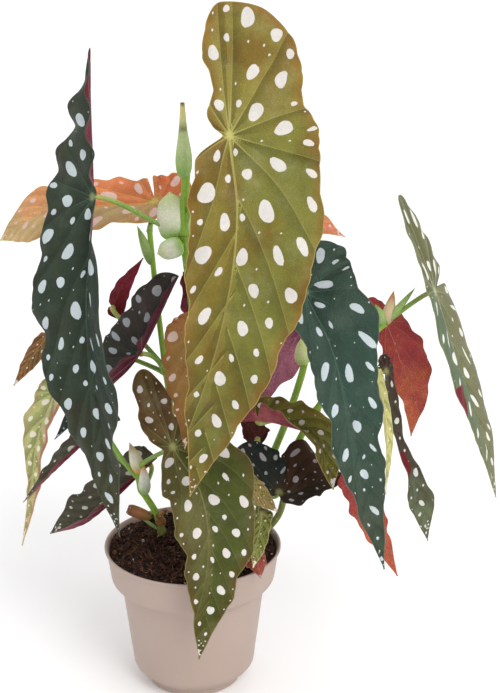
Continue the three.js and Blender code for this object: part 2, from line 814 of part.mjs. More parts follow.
/** A sheath: a pointed teardrop, round at its root. */
function makeScale({ root, point, width, depth }) {
  const axis = vec(point).sub(vec(root));
  const length = axis.length();
  const scale = turn(SCALE_PROFILE, SCALE_SIDES);
  scale.scale(width, depth, length);
  const upright = new THREE.Quaternion().setFromUnitVectors(
    new THREE.Vector3(0, 0, 1),
    axis.normalize(),
  );
  scale.applyQuaternion(upright);
  return scale.translate(...root);
}

function makeCane(cane) {
  const { foot, collar, path, radius, joints, stalks, scales } = cane;
  const swelling = (at) => new THREE.SphereGeometry(radius * JOINT_SWELL, CANE_SIDES, 4).translate(...at);
  const pieces = [
    rod(new THREE.LineCurve3(vec(foot), vec(collar)), radius, 1),
    rod(new THREE.CatmullRomCurve3([collar, ...path].map(vec), false, 'catmullrom', 0.5),
      radius, 3 * path.length),
    swelling(collar),
    ...joints.map(swelling),
    ...stalks.map((stalk) => makeStalk(stalk, Math.min(STALK_RADIUS, radius - 0.3))),
    ...scales.map(makeScale),
  ];
  return toGeometry(fuse(pieces));
}

// ---- assembly -----------------------------------------------------------

const leafNamed = (name) => ({ ...LEAF_DEFAULTS, ...LEAVES[name] });

addPart('pot', makePot(), POT_TAUPE, 0.55);
addPart('soil', makeSoil(), SOIL_BROWN, 0.95);
for (const [name, cane] of Object.entries(CANES)) {
  addPart(name, makeCane(cane), STEM_GREEN, 0.45);
}
for (const name of Object.keys(LEAVES)) {
  const leaf = leafNamed(name);
  addPart(name, makeLeaf(leaf), leaf.colour, 0.4);
}

export default object;
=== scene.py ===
"""A potted angel-wing begonia with polka dot leaves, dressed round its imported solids.

The frame is in metres with +Z up and its origin under the pot's foot. Plant sizes are given in
millimetres and angles in degrees, as they are in the solids' source, and become metres when a
mesh is made.
"""

import logging
import math
from collections.abc import Callable, Sequence
from dataclasses import dataclass, field, replace
from enum import Enum
from functools import cache

import bpy
import numpy as np
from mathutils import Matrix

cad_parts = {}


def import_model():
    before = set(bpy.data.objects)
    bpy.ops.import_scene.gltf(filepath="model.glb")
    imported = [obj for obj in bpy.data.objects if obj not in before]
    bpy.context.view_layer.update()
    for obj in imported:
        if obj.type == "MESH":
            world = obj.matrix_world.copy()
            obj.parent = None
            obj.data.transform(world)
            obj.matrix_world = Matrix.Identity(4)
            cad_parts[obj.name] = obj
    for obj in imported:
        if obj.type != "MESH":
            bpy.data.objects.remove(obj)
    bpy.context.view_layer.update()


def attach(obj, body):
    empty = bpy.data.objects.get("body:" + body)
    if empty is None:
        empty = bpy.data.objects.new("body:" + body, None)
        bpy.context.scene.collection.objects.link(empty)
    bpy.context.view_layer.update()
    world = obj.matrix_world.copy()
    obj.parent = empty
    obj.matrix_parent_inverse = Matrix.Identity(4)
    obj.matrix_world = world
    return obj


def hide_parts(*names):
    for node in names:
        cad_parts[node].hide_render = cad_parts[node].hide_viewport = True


LOG = logging.getLogger("begonia")

Array = np.ndarray
Rgb = tuple[int, int, int]
Pair = tuple[float, float]
Triple = tuple[float, float, float]
Point = Triple
Row = tuple[float, ...]
Ends = float | Triple
Material = bpy.types.Material
Tree = bpy.types.NodeTree

MM = 0.001
TURN = 2 * math.pi


# ---- small helpers ----


def linear(colour: Rgb) -> tuple[float, float, float, float]:
    """Display bytes as a linear colour with full alpha."""
    share = np.array(colour) / 255
    return (*np.where(share <= 0.04045, share / 12.92, ((share + 0.055) / 1.055) ** 2.4).tolist(), 1.0)


def mixed(first: Rgb, second: Rgb, share: float = 0.5) -> Rgb:
    """The colour part of the way from first to second."""
    return tuple(round(low + (high - low) * share) for low, high in zip(first, second))


def blend(first: Rgb, second: Rgb, share: Array) -> Array:
    """Linear colours from first, where share is 0, to second, where it is 1."""
    return towards(np.array(linear(first)), second, share)


def towards(colours: Array, second: Rgb, share: Array) -> Array:
    """Linear colours moved towards second by a share of each."""
    return colours + (np.array(linear(second)) - colours) * share[..., None]


def smooth(value: Array, low: float, high: float) -> Array:
    """0 at low and 1 at high, with an even start and end: t * t * (3 - 2 t)."""
    share = np.clip((value - low) / (high - low), 0, 1)
    return share * share * (3 - 2 * share)


def unit(vectors: Array) -> Array:
    """The vectors scaled to length 1."""
    return vectors / np.maximum(np.linalg.norm(vectors, axis=-1, keepdims=True), 1e-12)


def running_length(line: Array) -> Array:
    """How far along a line of points each point lies."""
    return np.concatenate([[0], np.cumsum(np.linalg.norm(np.diff(line, axis=0), axis=1))])


def catmull_rom(points: Array, place: Array) -> Array:
    """Points on a smooth curve through given points.

    Each stretch is a cubic with slopes of half the step between its neighbours, and the ends are
    carried on in a straight line.

    Args:
        points: The given points, one a row.
        place: Where the points are wanted: 0 is the first given point and 1 the next.

    Returns:
        One point for each place.
    """
    held = np.vstack([2 * points[0] - points[1], points, 2 * points[-1] - points[-2]])
    start = np.clip(np.floor(place).astype(int), 0, len(points) - 2)
    t = (place - start)[:, None]
    before, first, second, after = (held[start + step] for step in range(4))
    leave, arrive = (second - before) / 2, (after - first) / 2
    rise = t * t * (3 - 2 * t)
    bend = leave * t * (1 - t) ** 2 - arrive * t * t * (1 - t)
    return first * (1 - rise) + second * rise + bend


def turned_to(axis: Array) -> Array:
    """The shortest turn that takes +Z to a given way.

    It is 1 + c + c c / (1 + z), where c is the matrix of the cross product with +Z x axis.

    Args:
        axis: The way, as a unit vector that doesn't point straight down.

    Returns:
        A 3 x 3 matrix.
    """
    x, y, z = axis
    cross = np.array([[0, 0, x], [0, 0, y], [-x, -y, 0]])
    return np.eye(3) + cross + cross @ cross / (1 + z)


def ring_angles(sides: int) -> Array:
    """Even angles round a ring."""
    return np.linspace(0, TURN, sides, endpoint=False)


def tube(path: Array, radius: Array, sides: int) -> Array:
    """Rings of points round a path, with no twist between them.

    A ring is centre + radius * (cos a * first + sin a * second), and its frame is the one before
    it, made square to the path again.

    Args:
        path: Centres, one a row.
        radius: The radius at each centre.
        sides: Points in a ring.

    Returns:
        Points as rings x sides x 3.
    """
    tangent = unit(np.gradient(path, axis=0))
    first = np.empty_like(path)
    held = np.eye(3)[np.argmin(np.abs(tangent[0]))]
    for ring, along in enumerate(tangent):
        held = held - along * (held @ along)
        held /= np.linalg.norm(held)
        first[ring] = held
    second = np.cross(tangent, first)
    angle = ring_angles(sides)[None, :, None]
    spread = np.cos(angle) * first[:, None] + np.sin(angle) * second[:, None]
    return path[:, None] + radius[:, None, None] * spread


def lathe(outline: Array, sides: int) -> Array:
    """An outline turned about Z: (radius * cos a, radius * sin a, height).

    Args:
        outline: Pairs of radius and height, one a row.
        sides: Points in a ring.

    Returns:
        Points as rings x sides x 3.
    """
    angle = ring_angles(sides)
    radius, height = outline[:, :1], outline[:, 1:]
    height = np.broadcast_to(height, (len(outline), sides))
    return np.stack([radius * np.cos(angle), radius * np.sin(angle), height], axis=-1)


def grid_faces(rows: int, columns: int, wrap: bool = False, flip: bool = False) -> list[list[int]]:
    """Quads over a grid of points.

    Args:
        rows: Rows of points.
        columns: Points in a row.
        wrap: Joins each row's last point to its first.
        flip: Turns the faces over.

    Returns:
        Four places for each face.
    """
    across = np.arange(columns if wrap else columns - 1)
    row, column = np.meshgrid(np.arange(rows - 1), across, indexing="ij")
    a = row * columns + column
    b = row * columns + (column + 1) % columns
    quads = np.stack([a, b, b + columns, a + columns], axis=-1).reshape(-1, 4)
    return (quads[:, ::-1] if flip else quads).tolist()


@dataclass
class Shell:
    """Gathers grids of points and the values on them, and makes them one mesh."""

    points: list[Array] = field(default_factory=list)
    faces: list[list[int]] = field(default_factory=list)
    surfaces: list[int] = field(default_factory=list)
    values: dict[str, list[Array]] = field(default_factory=dict)
    count: int = 0

    def add(self, points: Array, faces: list[list[int]], **values: Array) -> None:
        """Adds points and faces in the first material slot.

        Args:
            points: Points in metres, one a row.
            faces: Lists of places in points.
            **values: One number or one colour for each point, by name.
        """
        self.points.append(points)
        self.faces += [[self.count + place for place in face] for face in faces]
        self.surfaces += [0] * len(faces)
        for name, value in values.items():
            self.values.setdefault(name, []).append(value)
        self.count += len(points)

    def tube(self, rings: Array, **values: Array) -> None:
        """Adds closed rings of points, with both ends capped.

        Args:
            rings: Points in millimetres, as rings x sides x 3.
            **values: One number or one colour for each point, by name.
        """
        rows, sides, _ = rings.shape
        faces = grid_faces(rows, sides, wrap=True)
        faces.append(list(range(sides))[::-1])
        faces.append(list(range((rows - 1) * sides, rows * sides)))
        self.add(rings.reshape(-1, 3) * MM, faces, **values)

    def mesh(self, name: str, sharp: float = 60) -> bpy.types.Mesh:
        """Makes the mesh.

        Args:
            name: The mesh's name.
            sharp: The angle in degrees past which an edge is left sharp.

        Returns:
            The mesh, with the values as attributes of its points.
        """
        mesh = bpy.data.meshes.new(name)
        mesh.from_pydata(np.vstack(self.points).tolist(), [], self.faces)
        mesh.polygons.foreach_set("material_index", np.array(self.surfaces, dtype=np.int32))
        for key, parts in self.values.items():
            value = np.concatenate(parts).astype(np.float32)
            kind, part = ("FLOAT_COLOR", "color") if value.ndim == 2 else ("FLOAT", "value")
            mesh.attributes.new(key, kind, "POINT").data.foreach_set(part, value.ravel())
        mesh.update()
        mesh.shade_smooth()
        mesh.set_sharp_from_angle(angle=math.radians(sharp))
        return mesh


def link(name: str, data: bpy.types.ID) -> bpy.types.Object:
    """Puts a new object in the scene.

    Args:
        name: Its name.
        data: Its mesh, light or camera.

    Returns:
        The object.
    """
    thing = bpy.data.objects.new(name, data)
    bpy.context.scene.collection.objects.link(thing)
    return thing


def place_piece(
    name: str, mesh: bpy.types.Mesh, materials: Sequence[Material], slot: str, *nodes: str
) -> None:
    """Puts a mesh in the scene as a piece of the object.

    Args:
        name: The piece's name.
        mesh: Its mesh, already in place.
        materials: Its materials, in the order of its faces' slots.
        slot: The record's material slot; not used.
        *nodes: The solids that it stands for.
    """
    for material in materials:
        mesh.materials.append(material)
    piece = link(name, mesh)
    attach(piece, "root")
    if nodes:
        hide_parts(*nodes)
    LOG.info("%s: %d faces", name, len(mesh.polygons))


# ---- shader building ----


@dataclass(frozen=True, eq=False)
class Wire:
    """A value inside a shader graph; each sign that is used on it places one Math node."""

    graph: "Graph"
    socket: bpy.types.NodeSocket

    def math(self, operation: str, other: object = 0.0, swap: bool = False) -> "Wire":
        """One operation on this value and another, or the other way round."""
        first, second = (other, self) if swap else (self, other)
        return self.graph.wire("ShaderNodeMath", {0: first, 1: second}, operation=operation)

    def __add__(self, other: object) -> "Wire":
        """The sum."""
        return self.math("ADD", other)

    def __sub__(self, other: object) -> "Wire":
        """This less the other."""
        return self.math("SUBTRACT", other)

    def __rsub__(self, other: float) -> "Wire":
        """The other less this."""
        return self.math("SUBTRACT", other, swap=True)

    def __mul__(self, other: object) -> "Wire":
        """The product."""
        return self.math("MULTIPLY", other)

    def __abs__(self) -> "Wire":
        """The value without its sign."""
        return self.math("ABSOLUTE")

    def step(self, low: float, high: float) -> "Wire":
        """A smooth step from 0 at low to 1 at high; low may be the higher."""
        given = {"Value": self, "From Min": low, "From Max": high}
        return self.graph.wire("ShaderNodeMapRange", given, interpolation_type="SMOOTHSTEP")

    def span(self, low: float, high: float) -> "Wire":
        """Spreads a value of 0 to 1 evenly from low to high."""
        return self.graph.wire("ShaderNodeMapRange", {"Value": self, "To Min": low, "To Max": high})


class Graph:
    """Places nodes in one node tree and joins them."""

    def __init__(self, tree: Tree) -> None:
        """Keeps the tree."""
        self.tree = tree

    def feed(self, socket: bpy.types.NodeSocket, value: object) -> None:
        """Joins a wire to an input or sets the input's own value.

        Args:
            socket: The input.
            value: A wire, a number, or a colour as display bytes.
        """
        if isinstance(value, Wire):
            self.tree.links.new(value.socket, socket)
        else:
            is_bytes = socket.type == "RGBA" and len(value) == 3
            socket.default_value = linear(value) if is_bytes else value

    def node(self, kind: str, given: dict | None = None, **options: object) -> bpy.types.Node:
        """Adds a node.

        Args:
            kind: Its type.
            given: Values for its inputs, by name or place.
            **options: Values for its options.

        Returns:
            The node.
        """
        node = self.tree.nodes.new(kind)
        for key, value in options.items():
            setattr(node, key, value)
        for key, value in (given or {}).items():
            self.feed(node.inputs[key], value)
        return node

    def wire(self, kind: str, given: dict, output: str | int = 0, **options: object) -> Wire:
        """Adds a node and gives one of its outputs."""
        return Wire(self, self.node(kind, given, **options).outputs[output])

    def mix(self, share: object, first: object, second: object, blend_type: str = "MIX") -> Wire:
        """A colour between two, or one laid over the other by a blend type."""
        given = {0: share, 6: first, 7: second}
        return self.wire("ShaderNodeMix", given, 2, data_type="RGBA", blend_type=blend_type)

    def place(self, stretch: Point = (1, 1, 1)) -> Wire:
        """The object's own coordinates, stretched."""
        where = self.wire("ShaderNodeTexCoord", {}, "Object")
        return self.wire("ShaderNodeMapping", {"Vector": where, "Scale": stretch})

    def noise(self, where: Wire, scale: float, detail: float = 3, rough: float = 0.5) -> Wire:
        """Soft noise of 0 to 1, with scale cells to the metre."""
        given = {"Vector": where, "Scale": scale, "Detail": detail, "Roughness": rough}
        return self.wire("ShaderNodeTexNoise", given)

    def cells(self, where: Wire, scale: object, feature: str = "F1") -> Wire:
        """Distances in a pattern of cells, with scale cells to the metre."""
        given = {"Vector": where, "Scale": scale}
        return self.wire("ShaderNodeTexVoronoi", given, "Distance", feature=feature)

    def attribute(self, name: str, output: str = "Fac") -> Wire:
        """A value kept on the mesh."""
        return self.wire("ShaderNodeAttribute", {}, output, attribute_name=name)

    def group(self, tree: Tree, **given: object) -> dict[str, Wire]:
        """Places a group.

        Args:
            tree: The group.
            **given: Its inputs; an underscore stands for a space in a name.

        Returns:
            Its outputs by name.
        """
        named = {key.replace("_", " "): value for key, value in given.items()}
        node = self.node("ShaderNodeGroup", named, node_tree=tree)
        return {socket.name: Wire(self, socket) for socket in node.outputs}


class Group(Graph):
    """The graph of a shader group that several materials share."""

    def __init__(self, name: str, given: dict[str, object]) -> None:
        """Starts the group.

        Args:
            name: Its name.
            given: Its inputs' names and first values; a tuple is a colour.
        """
        super().__init__(bpy.data.node_groups.new(name, "ShaderNodeTree"))
        for key, value in given.items():
            self.socket(key, "INPUT", isinstance(value, tuple)).default_value = value
        start = self.node("NodeGroupInput")
        self.given = {socket.name: Wire(self, socket) for socket in start.outputs}

    def socket(self, name: str, way: str, is_colour: bool) -> bpy.types.NodeTreeInterfaceSocket:
        """Adds an input or an output to the group's face."""
        kind = "NodeSocketColor" if is_colour else "NodeSocketFloat"
        return self.tree.interface.new_socket(name, in_out=way, socket_type=kind)

    def give(self, **outputs: Wire) -> Tree:
        """Adds the outputs.

        Args:
            **outputs: What each gives; Colour is a colour and the rest are values.

        Returns:
            The finished group.
        """
        for key in outputs:
            self.socket(key, "OUTPUT", key == "Colour")
        self.node("NodeGroupOutput", outputs)
        return self.tree


class Paint(Graph):
    """The graph of one material."""

    def __init__(self, name: str) -> None:
        """Makes the material.

        Args:
            name: Its name.
        """
        self.material = bpy.data.materials.new(name)
        self.material.use_nodes = True
        super().__init__(self.material.node_tree)
        self.shader = self.tree.nodes["Principled BSDF"]

    def coat(self, colour: Wire, rough: object, shine: float, height: Wire, depth: float) -> Material:
        """Feeds the shader.

        Args:
            colour: The base colour.
            rough: The roughness.
            shine: The level of reflection.
            height: A bump's height, from 0 to 1.
            depth: How deep the bump is, in metres.

        Returns:
            The material.
        """
        normal = self.wire("ShaderNodeBump", {"Strength": 1.0, "Distance": depth, "Height": height})
        inputs = self.shader.inputs
        self.feed(inputs["Base Color"], colour)
        self.feed(inputs["Roughness"], rough)
        self.feed(inputs["Specular IOR Level"], shine)
        self.feed(inputs["Normal"], normal)
        return self.material


# ---- finishes ----

GREY = (0.5, 0.5, 0.5, 1.0)
WHITE = (1.0, 1.0, 1.0, 1.0)


@cache
def plant_flesh() -> Tree:
    """Living plant tissue: soft clouds of colour over a fine net of cells, built once.

    The colour is darkened and lightened by noise, and its cell edges, where the domes dip, are a
    little darker: painted shade in the grooves. The height is the cells' domes with the noise added.

    Returns:
        The group.
    """
    group = Group("plant_flesh", {"Colour": GREY, "Cloud": 0.2, "Cell": 0.1})
    where = group.place()
    cloud, fine = group.noise(where, 55, 5, 0.62), group.noise(where, 420, 3)
    dome = group.cells(where, 650, "DISTANCE_TO_EDGE").step(0.0, 0.28)
    # painted shade: the colour darkens by Cell where the domes dip at the cell edges
    tone = (cloud - 0.5) * group.given["Cloud"] + (dome - 1.0) * group.given["Cell"]
    factor = (tone + (fine - 0.5) * 0.1) * 2.0 + 1.0
    shade = group.wire("ShaderNodeCombineColor", {0: factor, 1: factor, 2: factor})
    colour = group.mix(1.0, group.given["Colour"], shade, "MULTIPLY")
    return group.give(Colour=colour, Height=dome * 0.7 + fine * 0.3, Cloud=cloud)


@cache
def scattered_specks() -> Tree:
    """Small scattered specks laid over a colour: the cores of cells, cut by noise, built once.

    Returns:
        The group.
    """
    values = {"Colour": GREY, "Speck colour": WHITE, "Amount": 1.0, "Specks per metre": 300.0}
    group = Group("scattered_specks", values | {"Size": 0.2})
    given, where = group.given, group.place()
    reach = group.cells(where, given["Specks per metre"]) + group.noise(where, 900, 2) * 0.12
    mask = (given["Size"] - reach).step(-0.02, 0.03) * given["Amount"]
    return group.give(Colour=group.mix(mask, given["Colour"], given["Speck colour"]), Mask=mask)


BLACK = (0, 0, 0)
# The pale grey-green of the painted sheen on leaves.
SHEEN_COLOUR = (204, 206, 182)
NAVEL = (206, 204, 120)
VEIN_BELOW = (225, 160, 150)


@dataclass(frozen=True)
class LeafFinish:
    """Colours of a leaf, and how its markings lie.

    The blade's colour runs to lobe behind the stalk, to narrow on the narrow side, to tip at the
    point and to margin at the edge. A blush clouds all of it. Between the two shares of its length
    in turned, a band of the margin is painted in the fold colour, as a folded margin would show the
    underside: it narrows from fold_depth millimetres to nothing, on the wide side or, with a
    fold_side of -1, on the narrow side.
    """

    slot: str
    blade: Rgb
    lobe: Rgb
    narrow: Rgb
    tip: Rgb
    margin: Rgb
    vein: Rgb
    dot: Rgb
    under: Rgb = (104, 22, 42)
    under_warm: Rgb = (146, 74, 88)
    blush: Rgb = (120, 60, 30)
    blush_share: float = 0.25
    margin_width: float = 4.0
    vein_share: float = 0.3
    under_vein: float = 0.5
    # How strong the painted shade on the left of each vein and the painted highlight on its right are.
    painted_shading: float = 0.5
    # How much pale painted sheen, standing in for soft highlights, lies over the blade.
    painted_sheen: float = 0.16
    cloud: float = 0.34
    shine: float = 0.12
    gloss: float = 0.36
    turned: Pair = (0.0, 0.0)
    fold: Rgb = (106, 28, 36)
    fold_depth: float = 14.0
    fold_side: float = 1.0
    depth: float = 0.0002
    under_depth: float = 0.00025

    def upper(self, name: str) -> Material:
        """The upper face: zones of colour, pale veins, crisp spots and a thin pale rim.

        Args:
            name: The material's name.

        Returns:
            The material.
        """
        paint = Paint(name)
        where = paint.place()
        hub, edge, vein = paint.attribute("hub"), paint.attribute("edge"), vein_mask(paint)
        colour = self.painted_vein_shading(paint, self.zones(paint))
        flesh = paint.group(plant_flesh(), Colour=colour, Cloud=self.cloud, Cell=0.05)
        main = abs(paint.attribute("across")).step(0.08, 0.03) * 0.3
        line = vein * (main + hub.step(26.0, 3.0) * 0.3 + self.vein_share)
        colour = paint.mix(line, flesh["Colour"], self.vein)
        colour = paint.mix(hub.step(4.0, 1.0) * 0.7, colour, mixed(self.vein, NAVEL))
        ragged = (paint.noise(where, 700, 2) - 0.5) * 0.5
        spot = (paint.attribute("dot") + ragged).step(0.16, -0.14)
        pale = paint.group(plant_flesh(), Colour=self.dot, Cloud=0.16, Cell=0.02)
        colour = self.folded(paint, paint.mix(spot, colour, pale["Colour"]), edge)
        colour = paint.mix(edge.step(0.7, 0.25) * 0.55, colour, self.vein)
        rough = flesh["Cloud"].span(self.gloss - 0.06, self.gloss + 0.12) + spot * 0.06
        height = (flesh["Height"] + vein * -0.5) * (1.0 - spot * 0.6)
        return paint.coat(colour, rough, self.shine, height, self.depth)

    def zones(self, paint: Paint) -> Wire:
        """The colour of the blade by place, with wandering borders and patches of painted sheen.

        Args:
            paint: The material's graph.

        Returns:
            The colour.
        """
        where = paint.place()
        wander = (paint.noise(where, 38, 3) - 0.5) * 0.5
        along, across = paint.attribute("along") + wander, paint.attribute("across") + wander
        colour = paint.mix(across.step(0.12, -0.12), self.blade, self.narrow)
        colour = paint.mix(along.step(0.1, -0.3), colour, self.lobe)
        colour = paint.mix(along.step(0.45, 1.0), colour, self.tip)
        patch = paint.noise(where, 26, 4, 0.6).step(0.46, 0.72)
        colour = paint.mix(patch * self.blush_share, colour, self.blush)
        # painted sheen: pale grey-green patches that stand in for soft highlights
        sheen_patches = paint.noise(where, 44, 4, 0.65).step(0.48, 0.8)
        colour = paint.mix(sheen_patches * self.painted_sheen, colour, SHEEN_COLOUR)
        rim = (paint.attribute("edge") + wander * 14.0).step(self.margin_width, -3.0)
        return paint.mix(rim * 0.6, colour, self.margin)

    def painted_vein_shading(self, paint: Paint, colour: Wire) -> Wire:
        """Lays painted shade on the left of each vein and a painted highlight on its right.

        Args:
            paint: The material's graph.
            colour: The colour so far.

        Returns:
            The colour.
        """
        right = paint.attribute("vein").step(-0.8, 0.8)
        near = paint.attribute("centre").step(9.0, 0.3) * self.painted_shading
        # painted shade: the blade darkened towards black on the left of each vein
        colour = paint.mix(near * (1.0 - right), colour, mixed(self.blade, BLACK, 0.42))
        # painted highlight: the blade paled towards the vein colour on the right of each vein
        return paint.mix(near * right * 0.55, colour, mixed(self.blade, self.vein, 0.6))

    def folded(self, paint: Paint, colour: Wire, edge: Wire) -> Wire:
        """Paints the fold colour in a band along the margin, where the leaf has one.

        Args:
            paint: The material's graph.
            colour: The colour so far.
            edge: The distance from the margin in millimetres.

        Returns:
            The colour.
        """
        start, end = self.turned
        if end <= start:
            return colour
        gone = (paint.attribute("along") - start) * (1 / (end - start))
        fold = (edge - (1.0 - gone) * self.fold_depth).step(0.3, -0.3) * gone.step(-0.03, 0.03)
        side = paint.attribute("across") * self.fold_side
        return paint.mix(fold * side.step(0.0, 0.03), colour, self.fold)

    def lower(self, name: str) -> Material:
        """The underside: wine to warm clouds, and raised veins a little paler.

        Args:
            name: The material's name.

        Returns:
            The material.
        """
        paint = Paint(name)
        vein = vein_mask(paint)
        cloud = paint.noise(paint.place(), 30, 4, 0.65) + paint.attribute("along") * 0.22
        colour = paint.mix(cloud.step(0.44, 0.74), self.under, self.under_warm)
        flesh = paint.group(plant_flesh(), Colour=colour, Cloud=0.3, Cell=0.16)
        pale = mixed(self.under_warm, VEIN_BELOW)
        colour = paint.mix(vein * self.under_vein, flesh["Colour"], pale)
        rough = flesh["Cloud"].span(self.gloss, self.gloss + 0.16)
        return paint.coat(colour, rough, 0.18, flesh["Height"] + vein * 1.6, self.under_depth)


def vein_mask(paint: Paint) -> Wire:
    """1 on a vein and 0 off it.

    The mesh keeps the distance over the vein's half width with a sign, so that it crosses 0 on
    the vein itself, and the plain distance hides where that sign changes between two veins.

    Args:
        paint: The material's graph.

    Returns:
        The mask.
    """
    on_line = abs(paint.attribute("vein")).step(1.25, 0.5)
    return on_line * paint.attribute("centre").step(1.9, 1.2)


@dataclass(frozen=True)
class StemFinish:
    """Juicy green stems; each point's own colour is kept on the mesh."""

    lenticel: Rgb = (196, 205, 150)
    scar: Rgb = (112, 74, 40)
    glow: Point = (0.5, 1.0, 0.2)
    depth: float = 0.00018

    def material(self) -> Material:
        """Mesh colour with clouds, pale raised specks and brown rings at the joints.

        Returns:
            The material.
        """
        paint = Paint("stem_green")
        flesh = paint.group(plant_flesh(), Colour=paint.attribute("tint", "Color"), Cloud=0.3, Cell=0.06)
        specks = paint.group(
            scattered_specks(), Colour=flesh["Colour"], Speck_colour=self.lenticel, Amount=0.5,
            Specks_per_metre=260.0,
        )
        wander = (paint.noise(paint.place(), 500, 2) - 0.5) * 1.4
        scar = (paint.attribute("ring") + wander).step(1.0, 0.2) * 0.8
        colour = paint.mix(scar, specks["Colour"], self.scar)
        rough = flesh["Cloud"].span(0.3, 0.48) + scar * 0.3
        inputs = paint.shader.inputs
        inputs["Subsurface Weight"].default_value = 0.12
        inputs["Subsurface Radius"].default_value = self.glow
        inputs["Subsurface Scale"].default_value = 0.002
        return paint.coat(colour, rough, 0.4, flesh["Height"] + specks["Mask"] * 0.8, self.depth)


@dataclass(frozen=True)
class PlasticFinish:
    """Thin matte moulded plastic."""

    colour: Rgb = (174, 154, 143)
    shade: Rgb = (168, 148, 137)
    scuffed: Rgb = (214, 204, 199)
    dust: Rgb = (96, 78, 66)
    roughness: float = 0.5
    depth: float = 0.00005

    def material(self) -> Material:
        """Faint clouds and a fine grain, with a few pale upright scuffs and specks of dust.

        Returns:
            The material.
        """
        paint = Paint("pot_plastic")
        where = paint.place()
        colour = paint.mix(paint.noise(where, 14, 4, 0.55).step(0.3, 0.8), self.colour, self.shade)
        scuff = paint.noise(paint.place((1, 1, 0.25)), 260, 4, 0.7).step(0.62, 0.8)
        colour = paint.mix(scuff * 0.12, colour, self.scuffed)
        dusty = paint.group(
            scattered_specks(), Colour=colour, Speck_colour=self.dust, Amount=0.3,
            Specks_per_metre=90.0, Size=0.09,
        )
        grain = paint.noise(where, 1500, 2)
        rough = grain.span(self.roughness - 0.07, self.roughness + 0.09)
        return paint.coat(dusty["Colour"], rough, 0.4, grain, self.depth)


@dataclass(frozen=True)
class GrainFinish:
    """Loose matter: soil, fibre or perlite."""

    name: str
    dark: Rgb
    light: Rgb
    grains: float
    depth: float
    roughness: float = 0.9
    fleck: Rgb = (150, 120, 90)
    flecks: float = 0.0

    def material(self) -> Material:
        """Dark and light clouds, grains as a deep bump with painted shade in the hollows between them,
        and scattered flecks.

        Returns:
            The material.
        """
        paint = Paint(self.name)
        where = paint.place()
        grain, tone = paint.cells(where, self.grains), paint.noise(where, self.grains * 0.4, 5, 0.65)
        colour = paint.mix(tone.step(0.35, 0.7), self.dark, self.light)
        # painted shade: darker towards black in the hollows between the grains, where the bump is low
        colour = paint.mix(grain.step(0.35, 0.8) * 0.7, colour, mixed(self.dark, BLACK, 0.6))
        flecked = paint.group(
            scattered_specks(), Colour=colour, Speck_colour=self.fleck, Amount=self.flecks,
            Specks_per_metre=self.grains * 0.5, Size=0.22,
        )
        rough = tone.span(self.roughness - 0.12, self.roughness)
        return paint.coat(flecked["Colour"], rough, 0.2, tone - grain * 0.7, self.depth)


